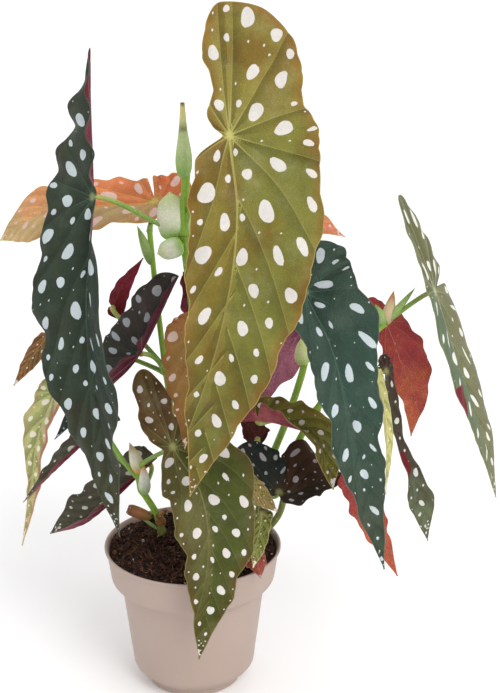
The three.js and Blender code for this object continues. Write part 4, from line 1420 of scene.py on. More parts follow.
LEAVES = (
    Leaf(
        "leaf_front_large", LeafKind.OLIVE,
        ((22, -30, 472), (27, -66, 400), (32, -86, 351), (24, -100, 279), (2, -92, 179)),
        (37, 43, 45, 51, 50, 43, 26), (11, 12, 9, 20, 28, 28, 19), azimuth=(-4, -2, 0),
        elevation=(30, 12, 4), fold_wide=(4, 6, 10), fold_narrow=(4, 6, 10), waves=5, wave=1.2, ripple=3,
        phase=0.1, spots=Spots((4.9, 3.6, 2.2, 0.8), (11, 8.5, 6, 4.5), (15, 30, 20, 26), 1.6, 3, 0.42),
    ),
    Leaf(
        "leaf_left_large", LeafKind.DARK,
        ((-59, 0, 439), (-59, -10, 347), (-62, -38, 282), (-54, -50, 199), (-45, -56, 133)),
        (4, 17, 26, 37, 42, 37, 16), (5, 7, 8, 11, 22, 25, 11), wide_side=-1, azimuth=(-60, -45, -35),
        elevation=(10, 10, 6), fold_wide=(20, 18, 12), fold_narrow=(66, 46, 8), waves=5, wave=2.4,
        ripple=2.6, phase=0.35,
        spots=Spots((4.2, 3.1, 2, 0.6), (10, 8, 6, 4), (18, 26, 16, 30), 1.6, 8, 0.45),
    ),
    Leaf(
        "leaf_back_orange", LeafKind.ORANGE,
        ((-1, 55, 339), (-24, 50, 327), (-64, 55, 322), (-102, 62, 314), (-131, 70, 294)),
        (12, 15, 16, 16, 19, 21, 18), (13, 16, 17, 18, 21, 21, 18), azimuth=(0, 0, -10),
        elevation=(55, 55, 50), wave=1.4, cleft=0.5,
        spots=Spots((4, 3, 1.6, 0.6), (8, 7, 5, 4), (14, 16, 16, 16), 1.5, 4),
    ),
    Leaf(
        "leaf_right_dark", LeafKind.TEAL,
        ((63, -30, 322), (73, -42, 295), (91, -60, 260), (106, -72, 201), (125, -70, 117)),
        (24, 30, 32, 33, 32, 21, 13), (8, 11, 12, 14, 17, 16, 12), azimuth=10, elevation=(25, 15, 5),
        fold_wide=(12, 20, 8), fold_narrow=(12, 20, 8), wave=1.8, ripple=2, phase=0.6,
        spots=Spots((3.6, 2.8, 1.8, 0.6), (8, 6.5, 5.5, 4), (16, 30, 20, 30), 2.2, 5, 0.5),
    ),
    Leaf(
        "leaf_far_right", LeafKind.PEWTER,
        ((134, 12, 342), (159, 10, 278), (175, 8, 232), (194, 4, 178), (205, 0, 134)),
        (6, 9, 10, 16, 21, 18, 9), (10, 16, 23, 26, 29, 26, 16), wide_side=-1, notch=0.3,
        azimuth=(72, 70, 64), elevation=(15, 15, 10), fold_wide=(0, 8, 6), fold_narrow=(12, 4, 4), wave=0.8,
        ripple=0.5, phase=0.2, cleft=0.5,
        spots=Spots((3.6, 2.7, 1.6, 0.6), (5, 4, 4, 4), (24, 34, 20, 16), 3.6, 6, 0.3),
    ),
    Leaf(
        "leaf_right_red", LeafKind.WINE,
        ((117, 45, 260), (130, 38, 247), (142, 36, 214), (149, 36, 191), (150, 38, 163)),
        (6, 7, 7, 12, 19, 16, 8), 10, wide_side=-1, azimuth=(170, 175, 180), elevation=0, fold_wide=4,
    ),
    Leaf(
        "leaf_left_behind", LeafKind.DUSK, ((-7, 8, 289), (-33, 8, 235), (-58, 12, 206), (-93, 16, 170)), 27,
        15, wide_side=-1, azimuth=-20, elevation=(30, 35, 30), fold_narrow=(115, 110, 60), phase=0.4,
        spots=Spots((3, 2.2, 1.2, 0.5), (7, 6, 4, 4), (10, 14, 14, 20), 1.5, 9),
    ),
    Leaf(
        "leaf_left_crimson", LeafKind.CRIMSON,
        ((-56, 40, 251), (-53, 40, 256), (-46, 40, 271), (-32, 40, 291)), 8, 6, azimuth=150, elevation=0,
        wave=0.4, ripple=0.5,
    ),
    Leaf(
        "leaf_left_small", LeafKind.BRONZE,
        ((-78, 30, 252), (-95, 28, 241), (-108, 26, 224), (-120, 24, 206)), 8, 6, azimuth=-20,
        elevation=(30, 30, 20), wave=0.6, ripple=0.6,
        spots=Spots((1.8, 1.3, 0.8, 0.4), (4, 3, 3, 3), (5, 8, 8, 8), 1.4, 11),
    ),
    Leaf(
        "leaf_left_lime", LeafKind.LIME,
        ((-89, 32, 213), (-93, 30, 199), (-106, 30, 164), (-110, 28, 127), (-120, 26, 85)),
        (6, 8, 9, 12, 13, 8, 4), (3, 4, 4, 6, 7, 5, 3), wide_side=-1, azimuth=-25, elevation=(10, 10, 5),
        wave=1.3, spots=Spots((2.2, 1.7, 1.1, 0.6), (5, 4, 4, 3), (9, 16, 18, 16), 1.4, 12),
    ),
    Leaf(
        "leaf_low_left", LeafKind.SHADE,
        ((-25, 34, 148), (-30, 32, 144), (-51, 26, 124), (-74, 16, 107), (-98, 8, 103)),
        (8, 11, 13, 17, 20, 21, 20), (5, 7, 8, 9, 9, 10, 10), wide_side=-1, azimuth=(-10, -10, -15),
        elevation=(35, 40, 35), fold_narrow=(95, 100, 100),
        spots=Spots((3, 2.2, 1.4, 0.6), (7, 5, 4, 4), (6, 10, 12, 14), 1.6, 13),
    ),
    Leaf(
        "leaf_low_left_far", LeafKind.SHADE,
        ((-48, 14, 185), (-61, 14, 179), (-89, 14, 152), (-116, 14, 124)), 12, 7, wide_side=-1, azimuth=-20,
        elevation=35, fold_narrow=95,
        spots=Spots((2.4, 1.8, 1.2, 0.6), (6, 5, 4, 4), (6, 10, 12, 14), 1.6, 14),
    ),
    Leaf(
        "leaf_front_low", LeafKind.FERN,
        ((-31, -20, 235), (-11, -30, 185), (9, -55, 161), (15, -76, 120), (6, -80, 57)),
        (8, 11, 13, 29, 35, 29, 15), (10, 13, 12, 14, 22, 21, 14), notch=0.5, azimuth=(-10, 0, 5),
        elevation=(30, 25, 5), wave=1.6, ripple=2, phase=0.3,
        spots=Spots((3.5, 2.9, 1.9, 0.8), (9, 8, 6, 3.4), (14, 26, 20, 40), 1.35, 15, 0.45, 0.68),
    ),
    Leaf(
        "leaf_mid_olive", LeafKind.RUST, ((5, -44, 283), (4, -50, 270), (3, -62, 236), (-2, -62, 197)),
        (10, 13, 15, 18, 19, 16, 8), 9, wide_side=-1, notch=0.3, azimuth=-20, elevation=(10, 10, 5),
        spots=Spots((3.1, 2.4, 1.5, 0.6), (12, 9, 7, 5), (6, 8, 6, 10), 1.25, 16),
    ),
    Leaf(
        "leaf_mid_folded", LeafKind.MOSS,
        ((30, -15, 196), (44, -18, 198), (62, -24, 197), (84, -34, 190), (93, -42, 160)),
        (8, 12, 14, 17, 18, 17, 12), (8, 10, 11, 13, 15, 14, 10), azimuth=(0, 0, -10),
        elevation=(60, 60, 20), fold_wide=(30, 20, 5), fold_narrow=(100, 125, 40), wave=1.2,
        spots=Spots((1.9, 1.4, 1, 0.5), (7, 5.5, 4, 3), (12, 18, 20, 16), 1.3, 17),
    ),
    Leaf(
        "leaf_soil_dark", LeafKind.EBONY, ((31, -24, 182), (58, -32, 153), (82, -26, 157), (104, -16, 156)),
        (15, 19, 20, 18, 25, 33, 16), 10, elevation=(60, 60, 50),
        spots=Spots((2.1, 1.6, 1.1, 0.6), (6, 5, 3.6, 3), (14, 26, 26, 22), 1.6, 18),
    ),
    Leaf(
        "leaf_soil_bronze", LeafKind.STRAW, ((30, -40, 166), (35, -40, 163), (46, -40, 154), (57, -40, 143)),
        9, 7, elevation=(50, 50, 40), wave=0.4, ripple=0.5,
        spots=Spots((1.6, 1.2, 0.8, 0.4), (4, 3, 3, 3), (4, 6, 6, 6), 1.4, 19),
    ),
    Leaf(
        "leaf_right_red_low", LeafKind.SALMON,
        ((105, -22, 171), (109, -24, 163), (120, -28, 131), (137, -34, 93)), 13, 10, azimuth=190,
        elevation=0, fold_wide=2, fold_narrow=2,
    ),
    Leaf(
        "leaf_right_cream", LeafKind.CREAM,
        ((120, -24, 236), (121, -24, 231), (129, -26, 191), (128, -28, 150)), 4, 3, azimuth=20, elevation=0,
        wave=0.3, ripple=0.3, spots=Spots((0.7,), (4,), (4,), 1.4, 20),
    ),
    Leaf(
        "leaf_right_twisted", LeafKind.BRACKEN,
        ((125, 12, 232), (129, 12, 221), (137, 8, 180), (152, 4, 141), (160, 0, 102)), (6, 7, 8, 7, 6, 4, 9),
        (6, 6, 6, 5, 5, 3.5, 9), azimuth=(60, 50, 10), elevation=10, wave=1.2,
        spots=Spots((2.6, 2, 1.2, 0.5), (6, 5, 4, 4), (8, 14, 14, 16), 1.6, 21, behind=0.3),
    ),
    Leaf(
        "leaf_mid_maroon", LeafKind.MAROON, ((47, -6, 177), (44, -6, 180), (40, -5, 187), (32, -4, 197)), 10,
        8, azimuth=180, elevation=0, wave=0.4, ripple=0.5,
    ),
    Leaf(
        "leaf_back_mauve", LeafKind.MAUVE, ((83, 44, 258), (78, 46, 245), (60, 50, 213), (32, 48, 169)), 22,
        15, azimuth=180, elevation=0,
    ),
    Leaf(
        "leaf_back_dark", LeafKind.DARK, ((10, 64, 280), (14, 68, 262), (21, 82, 202), (23, 80, 145)), 24,
        16, azimuth=(175, 180, 185), elevation=(30, 20, 5), wave=1.4, phase=0.7,
    ),
    Leaf(
        "leaf_back_orange_right", LeafKind.PEACH,
        ((26, 50, 325), (36, 52, 322), (72, 56, 317), (103, 62, 299)), 18, 13, wide_side=-1,
        elevation=(55, 55, 50), spots=Spots((3, 2.2, 1.4, 0.6), (7, 6, 4, 4), (8, 10, 10, 10), 1.4, 23),
    ),
    Leaf(
        "leaf_rim_crimson", LeafKind.BLUSHING,
        ((38, -33, 115), (39, -37, 114), (44, -46, 109), (46, -52, 101)), 9, 8, azimuth=10,
        elevation=(60, 60, 20), fold_wide=(8, -10, -30), fold_narrow=(8, -10, -30), wave=0.4, ripple=0.4,
        spots=Spots((0.9, 0.6), (4, 3), (5, 8), 1.4, 24),
    ),
    Leaf(
        "leaf_rim_lime", LeafKind.MOTTLED, ((48, -30, 141), (47, -34, 139), (44, -62, 130), (41, -68, 117)),
        7, 5.5, elevation=(40, 40, 0), wave=0.6, ripple=0.6,
        spots=Spots((1.4, 1.1, 0.8, 0.5), (4, 3, 3, 3), (5, 8, 8, 8), 1.4, 22),
    ),
)


# ---- canes ----

STALK_RADIUS = 1.7
STALK_SIDES = 14
STALK_POINTS = 34
STALK_GAP = 0.1
CANE_SIDES = 20
RIB_DEPTH = 0.035
JOINT_SWELL = 0.35
JOINT_REACH = 3.2
SHEATH_SIDES = 28
SHEATH_ROWS = 26
SCORCH = (96, 70, 36)
CANE_GREEN = (136, 176, 52)
CANE_OLD = (122, 128, 62)
STALK_GREEN = (130, 166, 66)
STALK_TIP = (170, 176, 96)

# Outlines of sheaths from root to point: half widths over the width, and shares of the length.
SCALE_PROFILE = ((0, -0.06), (0.36, 0.04), (0.5, 0.3), (0.32, 0.68), (0, 1))
BUD_PROFILE = ((0, -0.06), (0.4, 0.04), (0.5, 0.26), (0.26, 0.64), (0.13, 1))
HOOD_PROFILE = ((0, -0.06), (0.42, 0.07), (0.53, 0.38), (0.42, 0.76), (0, 1))
BLUNT_PROFILE = ((0, -0.06), (0.3, 0.04), (0.46, 0.3), (0.5, 0.8), (0.36, 1))


class SheathKind(Enum):
    """The looks of a sheath or bud scale: its colours from root to point, and its outline."""

    GREEN = ((128, 160, 84), (150, 178, 104), (120, 150, 70), SCALE_PROFILE)
    PALE = ((166, 194, 96), (208, 220, 156), (192, 208, 128), SCALE_PROFILE)
    BUD = ((144, 180, 92), (190, 208, 146), (212, 202, 132), BUD_PROFILE)
    MILKY = ((146, 194, 80), (228, 234, 204), (206, 220, 156), HOOD_PROFILE)
    HUSK = ((204, 160, 84), (222, 222, 194), (176, 142, 92), SCALE_PROFILE)
    SPLIT = ((168, 196, 128), (230, 232, 216), (202, 146, 66), SCALE_PROFILE)
    PAPER = ((190, 170, 124), (206, 186, 146), (176, 108, 60), SCALE_PROFILE)
    BROWN = ((134, 108, 52), (158, 104, 58), (116, 72, 44), BLUNT_PROFILE)


@dataclass(frozen=True)
class Stalk:
    """A leaf stalk: where it leaves the cane, which way, and how it comes up to its leaf."""

    leaf: str
    start: Point
    lift: Point
    approach: float

    def path(self, leaf: Leaf) -> Array:
        """A cubic Bezier from start along lift, to the leaf's underside square on.

        Args:
            leaf: The leaf that the stalk holds.

        Returns:
            Points, one a row.
        """
        at, _, facing = leaf.midrib(np.zeros(1))
        start, lift = np.array(self.start), np.array(self.lift)
        end = at[0] - facing[0] * STALK_GAP
        guides = (start, start + lift, end - facing[0] * self.approach, end)
        t = np.linspace(0, 1, STALK_POINTS)[:, None]
        weights = ((1 - t) ** 3, 3 * t * (1 - t) ** 2, 3 * t * t * (1 - t), t**3)
        return sum(weight * guide for weight, guide in zip(weights, guides))


@dataclass(frozen=True)
class Sheath:
    """A pointed sheath, by its root, the place it points to, its width and its depth."""

    root: Point
    point: Point
    width: float
    depth: float
    kind: SheathKind = SheathKind.GREEN

    def add_to(self, shell: Shell) -> None:
        """Adds a teardrop with a keel in front, an overlapping seam behind and fine ribs.

        Its radius is a smooth curve through the profile, times 1 + 0.12 at the keel - 0.16 at
        the seam + 0.02 cos 12a. The colour runs from root to point and back to the root's on the
        keel.

        Args:
            shell: The cane's shell.
        """
        root, middle, tip, outline = self.kind.value
        place = np.linspace(0, len(outline) - 1, SHEATH_ROWS)
        radius, height = catmull_rom(np.array(outline), place).T
        angle = ring_angles(SHEATH_SIDES)
        keel = 0.12 * np.exp(-((np.minimum(angle, TURN - angle) / 0.3) ** 2))
        seam = 0.16 * np.exp(-(((angle - math.pi) / 0.16) ** 2))
        reach = np.maximum(radius, 0.012)[:, None] * (1 + keel - seam + 0.02 * np.cos(12 * angle))
        axis = np.array(self.point) - np.array(self.root)
        length = float(np.linalg.norm(axis))
        x, y = self.width * reach * np.cos(angle), self.depth * reach * np.sin(angle)
        local = np.stack([x, y, np.broadcast_to(length * height[:, None], reach.shape)], axis=-1)
        rings = local @ turned_to(axis / length).T + np.array(self.root)
        share = np.repeat(np.clip(height, 0, 1), SHEATH_SIDES)
        tint = towards(blend(root, middle, smooth(share, 0, 0.45)), tip, smooth(share, 0.55, 0.95))
        if self.kind is SheathKind.BUD:
            dry = smooth(share, 0.93, 1) + 0.7 * np.exp(-(((share - 0.66) / 0.05) ** 2))
            tint = towards(tint, SCORCH, dry)
        tint = towards(tint, root, np.tile(keel / keel.max(), len(height)) * 0.6)
        shell.tube(rings, tint=tint, ring=np.full(share.shape, FAR))


@dataclass(frozen=True)
class Cane:
    """A cane with its leaf stalks and sheaths.

    It stands straight in the soil from foot to collar and then follows its path; joints are the
    swollen rings where stalks start.
    """

    name: str
    foot: Point
    collar: Point
    path: tuple[Point, ...]
    radius: float
    joints: tuple[Point, ...]
    stalks: tuple[Stalk, ...]
    sheaths: tuple[Sheath, ...]

    def main_stem(self, shell: Shell) -> None:
        """Adds the cane: a five-ribbed tube that tapers upwards.

        It swells by a bell curve, exp(-(distance / JOINT_REACH)^2), at each joint and at the soil.

        Args:
            shell: The cane's shell.
        """
        given = np.array([self.collar, *self.path])
        foot = np.array(self.foot)
        straight = foot + (given[0] - foot) * np.linspace(0, 1, 9)[:-1, None]
        curve = catmull_rom(given, np.linspace(0, len(given) - 1, 26 * len(given)))
        line = np.vstack([straight, curve])
        joints = np.array([self.collar, *self.joints])
        away = np.linalg.norm(line[:, None] - joints[None], axis=-1)
        swell = JOINT_SWELL * np.exp(-((away.min(axis=1) / JOINT_REACH) ** 2))
        share = np.linspace(0, 1, len(line))
        rings = tube(line, self.radius * (1.03 - 0.12 * share + swell), CANE_SIDES)
        ribs = 1 + RIB_DEPTH * np.cos(5 * ring_angles(CANE_SIDES))
        rings = line[:, None] + (rings - line[:, None]) * ribs[None, :, None]
        tint = blend(CANE_OLD, CANE_GREEN, np.repeat(smooth(share, 0.2, 0.6), CANE_SIDES))
        shell.tube(rings, tint=tint, ring=np.repeat(away[:, 1:].min(axis=1), CANE_SIDES))

    def stalk(self, shell: Shell, line: Array) -> None:
        """Adds a stalk: a tube that flares at the cane and a little under the leaf.

        The flares are exp(-distance / 5 mm) at the cane and exp(-distance / 3 mm) at the leaf.

        Args:
            shell: The cane's shell.
            line: The stalk's middle line.
        """
        run = running_length(line)
        base = min(STALK_RADIUS, self.radius - 0.3)
        flare = 0.4 * np.exp(-run / 5) + 0.25 * np.exp(-(run[-1] - run) / 3)
        share = np.repeat(run / run[-1], STALK_SIDES)
        tint = blend(STALK_GREEN, STALK_TIP, smooth(share, 0.6, 1.0))
        rings = tube(line, base * (0.92 + flare), STALK_SIDES)
        shell.tube(rings, tint=tint, ring=np.full(share.shape, FAR))

    def build(self, material: Material, leaves: dict[str, Leaf]) -> None:
        """Makes the cane, its stalks and its sheaths as one piece.

        Args:
            material: The stems' material.
            leaves: The leaves by name, for the places where stalks end.
        """
        shell = Shell()
        self.main_stem(shell)
        for stalk in self.stalks:
            self.stalk(shell, stalk.path(leaves[stalk.leaf]))
        for sheath in self.sheaths:
            sheath.add_to(shell)
        place_piece(f"{self.name}_stems", shell.mesh(self.name), [material], "cane", self.name)


CANES = (
    Cane(
        "cane_main", foot=(3, 20, 40), collar=(2, 19, 102.2),
        path=((4, 12, 180), (3, 4, 255), (-3, 0, 319), (-1, 0, 364)),
        radius=2.9, joints=((4, 14, 158), (3, 6, 238), (-3, 0, 319)),
        stalks=(
            Stalk("leaf_front_large", (-3, 0, 321), (10, -8, 50), 34),
            Stalk("leaf_left_large", (-3, 0, 320), (-22, 0, 6), 22),
            Stalk("leaf_mid_olive", (3, 6, 238), (-6, -14, 22), 16),
            Stalk("leaf_back_dark", (3, 5, 246), (2, 22, 22), 16),
            Stalk("leaf_back_orange_right", (1, 3, 275), (6, 16, 8), 24),
        ),
        sheaths=(
            Sheath((-3, -1, 358), (-3, -1, 405), 10, 8, SheathKind.BUD),
            Sheath((-9, 2, 316), (-12, 2, 347), 20, 9, SheathKind.MILKY),
            Sheath((-4, -5, 314), (-20, -8, 309), 13, 9, SheathKind.MILKY),
        ),
    ),
    Cane(
        "cane_left", foot=(-8, 26, 40), collar=(-9, 26, 102),
        path=((-14, 24, 183), (-18, 21, 222), (-23, 28, 268), (-27, 34, 312)),
        radius=2, joints=((-13, 24, 170), (-18, 21, 218)),
        stalks=(
            Stalk("leaf_back_orange", (-27, 34, 311), (0, 6, 6), 7),
            Stalk("leaf_left_behind", (-18, 21, 217), (-4, 0, 10), 12),
            Stalk("leaf_left_crimson", (-18, 21, 219), (-8, 6, 12), 8),
            Stalk("leaf_left_small", (-18, 22, 216), (-30, 16, 10), 14),
        ),
        sheaths=(Sheath((-26, 31, 290), (-35, 32, 316), 7, 4),),
    ),
    Cane(
        "cane_right", foot=(33, 24, 40), collar=(43, 20, 101.5),
        path=((47, 17, 128), (54, 12, 159), (64, 10, 188), (75, 10, 227), (77, 8, 258)),
        radius=2.5, joints=((54, 12, 160), (78, 9, 246)),
        stalks=(
            Stalk("leaf_right_dark", (77, 8, 257), (0, -6, 22), 22),
            Stalk("leaf_back_mauve", (77, 9, 250), (2, 14, 4), 10),
            Stalk("leaf_mid_folded", (62, 10, 182), (-4, -8, 14), 8),
            Stalk("leaf_soil_dark", (49, 15, 138), (3, -14, -2), 12),
            Stalk("leaf_soil_bronze", (47, 17, 124), (-3, -16, -2), 8),
            Stalk("leaf_mid_maroon", (53, 12, 157), (-7, -8, 4), 9),
            Stalk("leaf_rim_lime", (47, 17, 124), (-2, -12, 10), 14),
            Stalk("leaf_rim_crimson", (43, 19, 108), (-2, -8, 0), 4),
        ),
        sheaths=(Sheath((74, 6, 229), (72, 2, 248), 11, 7, SheathKind.PALE),),
    ),
    Cane(
        "cane_far_right", foot=(35, 8, 40), collar=(47, 9, 101.5),
        path=((60, 10, 120), (66, 5, 160), (83, 4, 196), (105, 8, 231), (128, 14, 255)),
        radius=2.3, joints=((83, 4, 195), (128, 14, 255)),
        stalks=(
            Stalk("leaf_far_right", (128, 14, 255), (10, 2, 6), 9),
            Stalk("leaf_right_red", (128, 14, 254), (2, 3, 4), 8),
            Stalk("leaf_right_twisted", (105, 8, 231), (8, 6, 0), 8),
            Stalk("leaf_right_cream", (105, 8, 231), (2, -8, 4), 8),
            Stalk("leaf_right_red_low", (83, 4, 195), (20, -40, 0), 14),
        ),
        sheaths=(
            Sheath((127, 13, 253), (121, 13, 268), 8, 5),
            Sheath((128, 14, 254), (133, 14, 277), 8, 5, SheathKind.PAPER),
            Sheath((128, 14, 254), (147, 12, 280), 5, 3),
            Sheath((81, 4, 190), (71, 2, 196), 10, 7, SheathKind.PALE),
        ),
    ),
    Cane(
        "cane_young", foot=(-22, 18, 50), collar=(-22, 16, 101.5),
        path=((-23, 14, 111), (-27, 13, 120), (-35, 12, 136), (-38, 12, 153)),
        radius=2.4, joints=((-23, 14, 112), (-34, 12, 135)),
        stalks=(
            Stalk("leaf_front_low", (-37, 12, 150), (4, -6, 10), 14),
            Stalk("leaf_left_lime", (-37, 12, 148), (-20, 14, 2), 14),
            Stalk("leaf_low_left_far", (-36, 12, 143), (-10, -2, 8), 6),
            Stalk("leaf_low_left", (-34, 12, 134), (4, 10, 4), 10),
        ),
        sheaths=(
            Sheath((-36, 11, 148), (-42, 9, 171), 9, 6, SheathKind.HUSK),
            Sheath((-33, 11, 132), (-33, 8, 156), 8, 5, SheathKind.SPLIT),
            Sheath((-29, 13, 113), (-45, 14, 119), 8, 5, SheathKind.BROWN),
            Sheath((-20, 12, 108), (-24, 9, 117), 4, 2, SheathKind.BROWN),
            Sheath((-24, 9, 115), (-18, 8, 122), 3, 1.6, SheathKind.BROWN),
            Sheath((-22, 14, 107), (-23, 14, 111), 7.2, 7.2, SheathKind.BROWN),
            Sheath((-24, 15, 103), (-42, 14, 117), 2.4, 2.4),
        ),
    ),
)


# ---- pot and soil ----


@dataclass(frozen=True)
class Pot:
    """A thin moulded nursery pot: tapered body, shoulder, collar and lip, in millimetres."""

    rim_radius: float = 60
    height: float = 100
    wall: float = 1.4
    foot_radius: float = 31.5
    foot_edge: Pair = (32, 3.4)
    body_base: Pair = (40.4, 11)
    body_start: Pair = (41.6, 13.5)
    body_top: Pair = (48.6, 71)
    shoulder: Pair = (55.6, 77)
    collar_radius: float = 58.6
    lip_height: float = 1.6
    bevel: float = 0.6
    sides: int = 160
    drain_holes: int = 6
    drain_radius: float = 4
    drain_circle: float = 19
    drill_heights: Triple = (-6, 0.5, 7)
    drill_sides: int = 24
    floor_step: float = 6
    floor_centre: float = 0.5
    fillet: float = 0.9

    def outline(self) -> Array:
        """The wall's corners: up the outside, over the lip and down the inside.

        Returns:
            Pairs of radius and height, one a row.
        """
        wall, top, rim = self.wall, self.height, self.rim_radius
        body = (self.foot_edge, self.body_base, self.body_start, self.body_top, self.shoulder)
        lifts = (wall, self.bevel, 0, self.bevel, self.bevel)
        inside = [(radius - wall, height + lift) for (radius, height), lift in zip(body, lifts)]
        return np.array([
            (self.foot_radius, 0),
            *body,
            (self.collar_radius, top - self.lip_height - self.bevel),
            (rim, top - self.lip_height),
            (rim, top),
            (rim - wall, top),
            (self.collar_radius + 0.1 - wall, top - self.lip_height - 0.8),
            *inside[::-1],
            (self.foot_radius - wall, wall + self.bevel),
        ])

    def rounded(self) -> Array:
        """The outline with each corner rounded: a quadratic curve between points a fillet away.

        Returns:
            Pairs of radius and height, one a row.
        """
        corners = self.outline()
        inner = corners[1:-1]
        before, after = corners[:-2] - inner, corners[2:] - inner
        room = np.minimum(np.linalg.norm(before, axis=1), np.linalg.norm(after, axis=1)) * 0.35
        reach = np.minimum(self.fillet * 2, room)[:, None]
        start, end = inner + unit(before) * reach, inner + unit(after) * reach
        t = np.linspace(0, 1, 5)[None, :, None]
        bend = 2 * t * (1 - t) * inner[:, None]
        arcs = (1 - t) ** 2 * start[:, None] + bend + t * t * end[:, None]
        return np.vstack([corners[:1], arcs.reshape(-1, 2), corners[-1:]])

    def build(self) -> None:
        """Turns the outline about the axis, closes the floor and drills the drain holes."""
        floor_radius = self.foot_radius - self.floor_step
        base = [(self.floor_centre, 0), (floor_radius, 0)]
        floor = [(floor_radius - self.wall, self.wall), (self.floor_centre, self.wall)]
        shell = Shell()
        shell.tube(lathe(np.vstack([base, self.rounded(), floor]), self.sides))
        mesh = self.drilled(shell.mesh("pot_body"))
        mesh.shade_smooth()
        mesh.set_sharp_from_angle(angle=math.radians(40))
        place_piece("pot_shell", mesh, [PlasticFinish().material()], "pot", "pot")

    def drilled(self, body: bpy.types.Mesh) -> bpy.types.Mesh:
        """Cuts the drain holes.

        Args:
            body: The pot without them.

        Returns:
            The body less round drills.
        """
        drills = Shell()
        for hole in range(self.drain_holes):
            turn = hole / self.drain_holes * TURN
            centre = self.drain_circle * np.array([math.cos(turn), math.sin(turn)])
            line = np.array([[*centre, height] for height in self.drill_heights])
            drills.tube(tube(line, np.full(3, self.drain_radius), self.drill_sides))
        rough, cutter = link("pot_rough", body), link("pot_drills", drills.mesh("pot_drills"))
        cut = rough.modifiers.new("holes", "BOOLEAN")
        cut.operation, cut.solver, cut.object = "DIFFERENCE", "EXACT", cutter
        graph = bpy.context.evaluated_depsgraph_get()
        mesh = bpy.data.meshes.new_from_object(rough.evaluated_get(graph))
        for item in (rough, cutter):
            bpy.data.objects.remove(item)
        return mesh


ICOSAHEDRON_FACES = (
    (0, 11, 5), (0, 5, 1), (0, 1, 7), (0, 7, 10), (0, 10, 11),
    (1, 5, 9), (5, 11, 4), (11, 10, 2), (10, 7, 6), (7, 1, 8),
    (3, 9, 4), (3, 4, 2), (3, 2, 6), (3, 6, 8), (3, 8, 9),
    (4, 9, 5), (2, 4, 11), (6, 2, 10), (8, 6, 7), (9, 8, 1),
)  # fmt: skip


def icosahedron() -> Array:
    """The twelve corners (+-1, +-g, 0) and their turns, scaled to length 1.

    Returns:
        Corners, one a row.
    """
    g = (1 + math.sqrt(5)) / 2
    flat = np.array([(-1, g, 0), (1, g, 0), (-1, -g, 0), (1, -g, 0)])
    return unit(np.vstack([np.roll(flat, turn, axis=1) for turn in range(3)]))


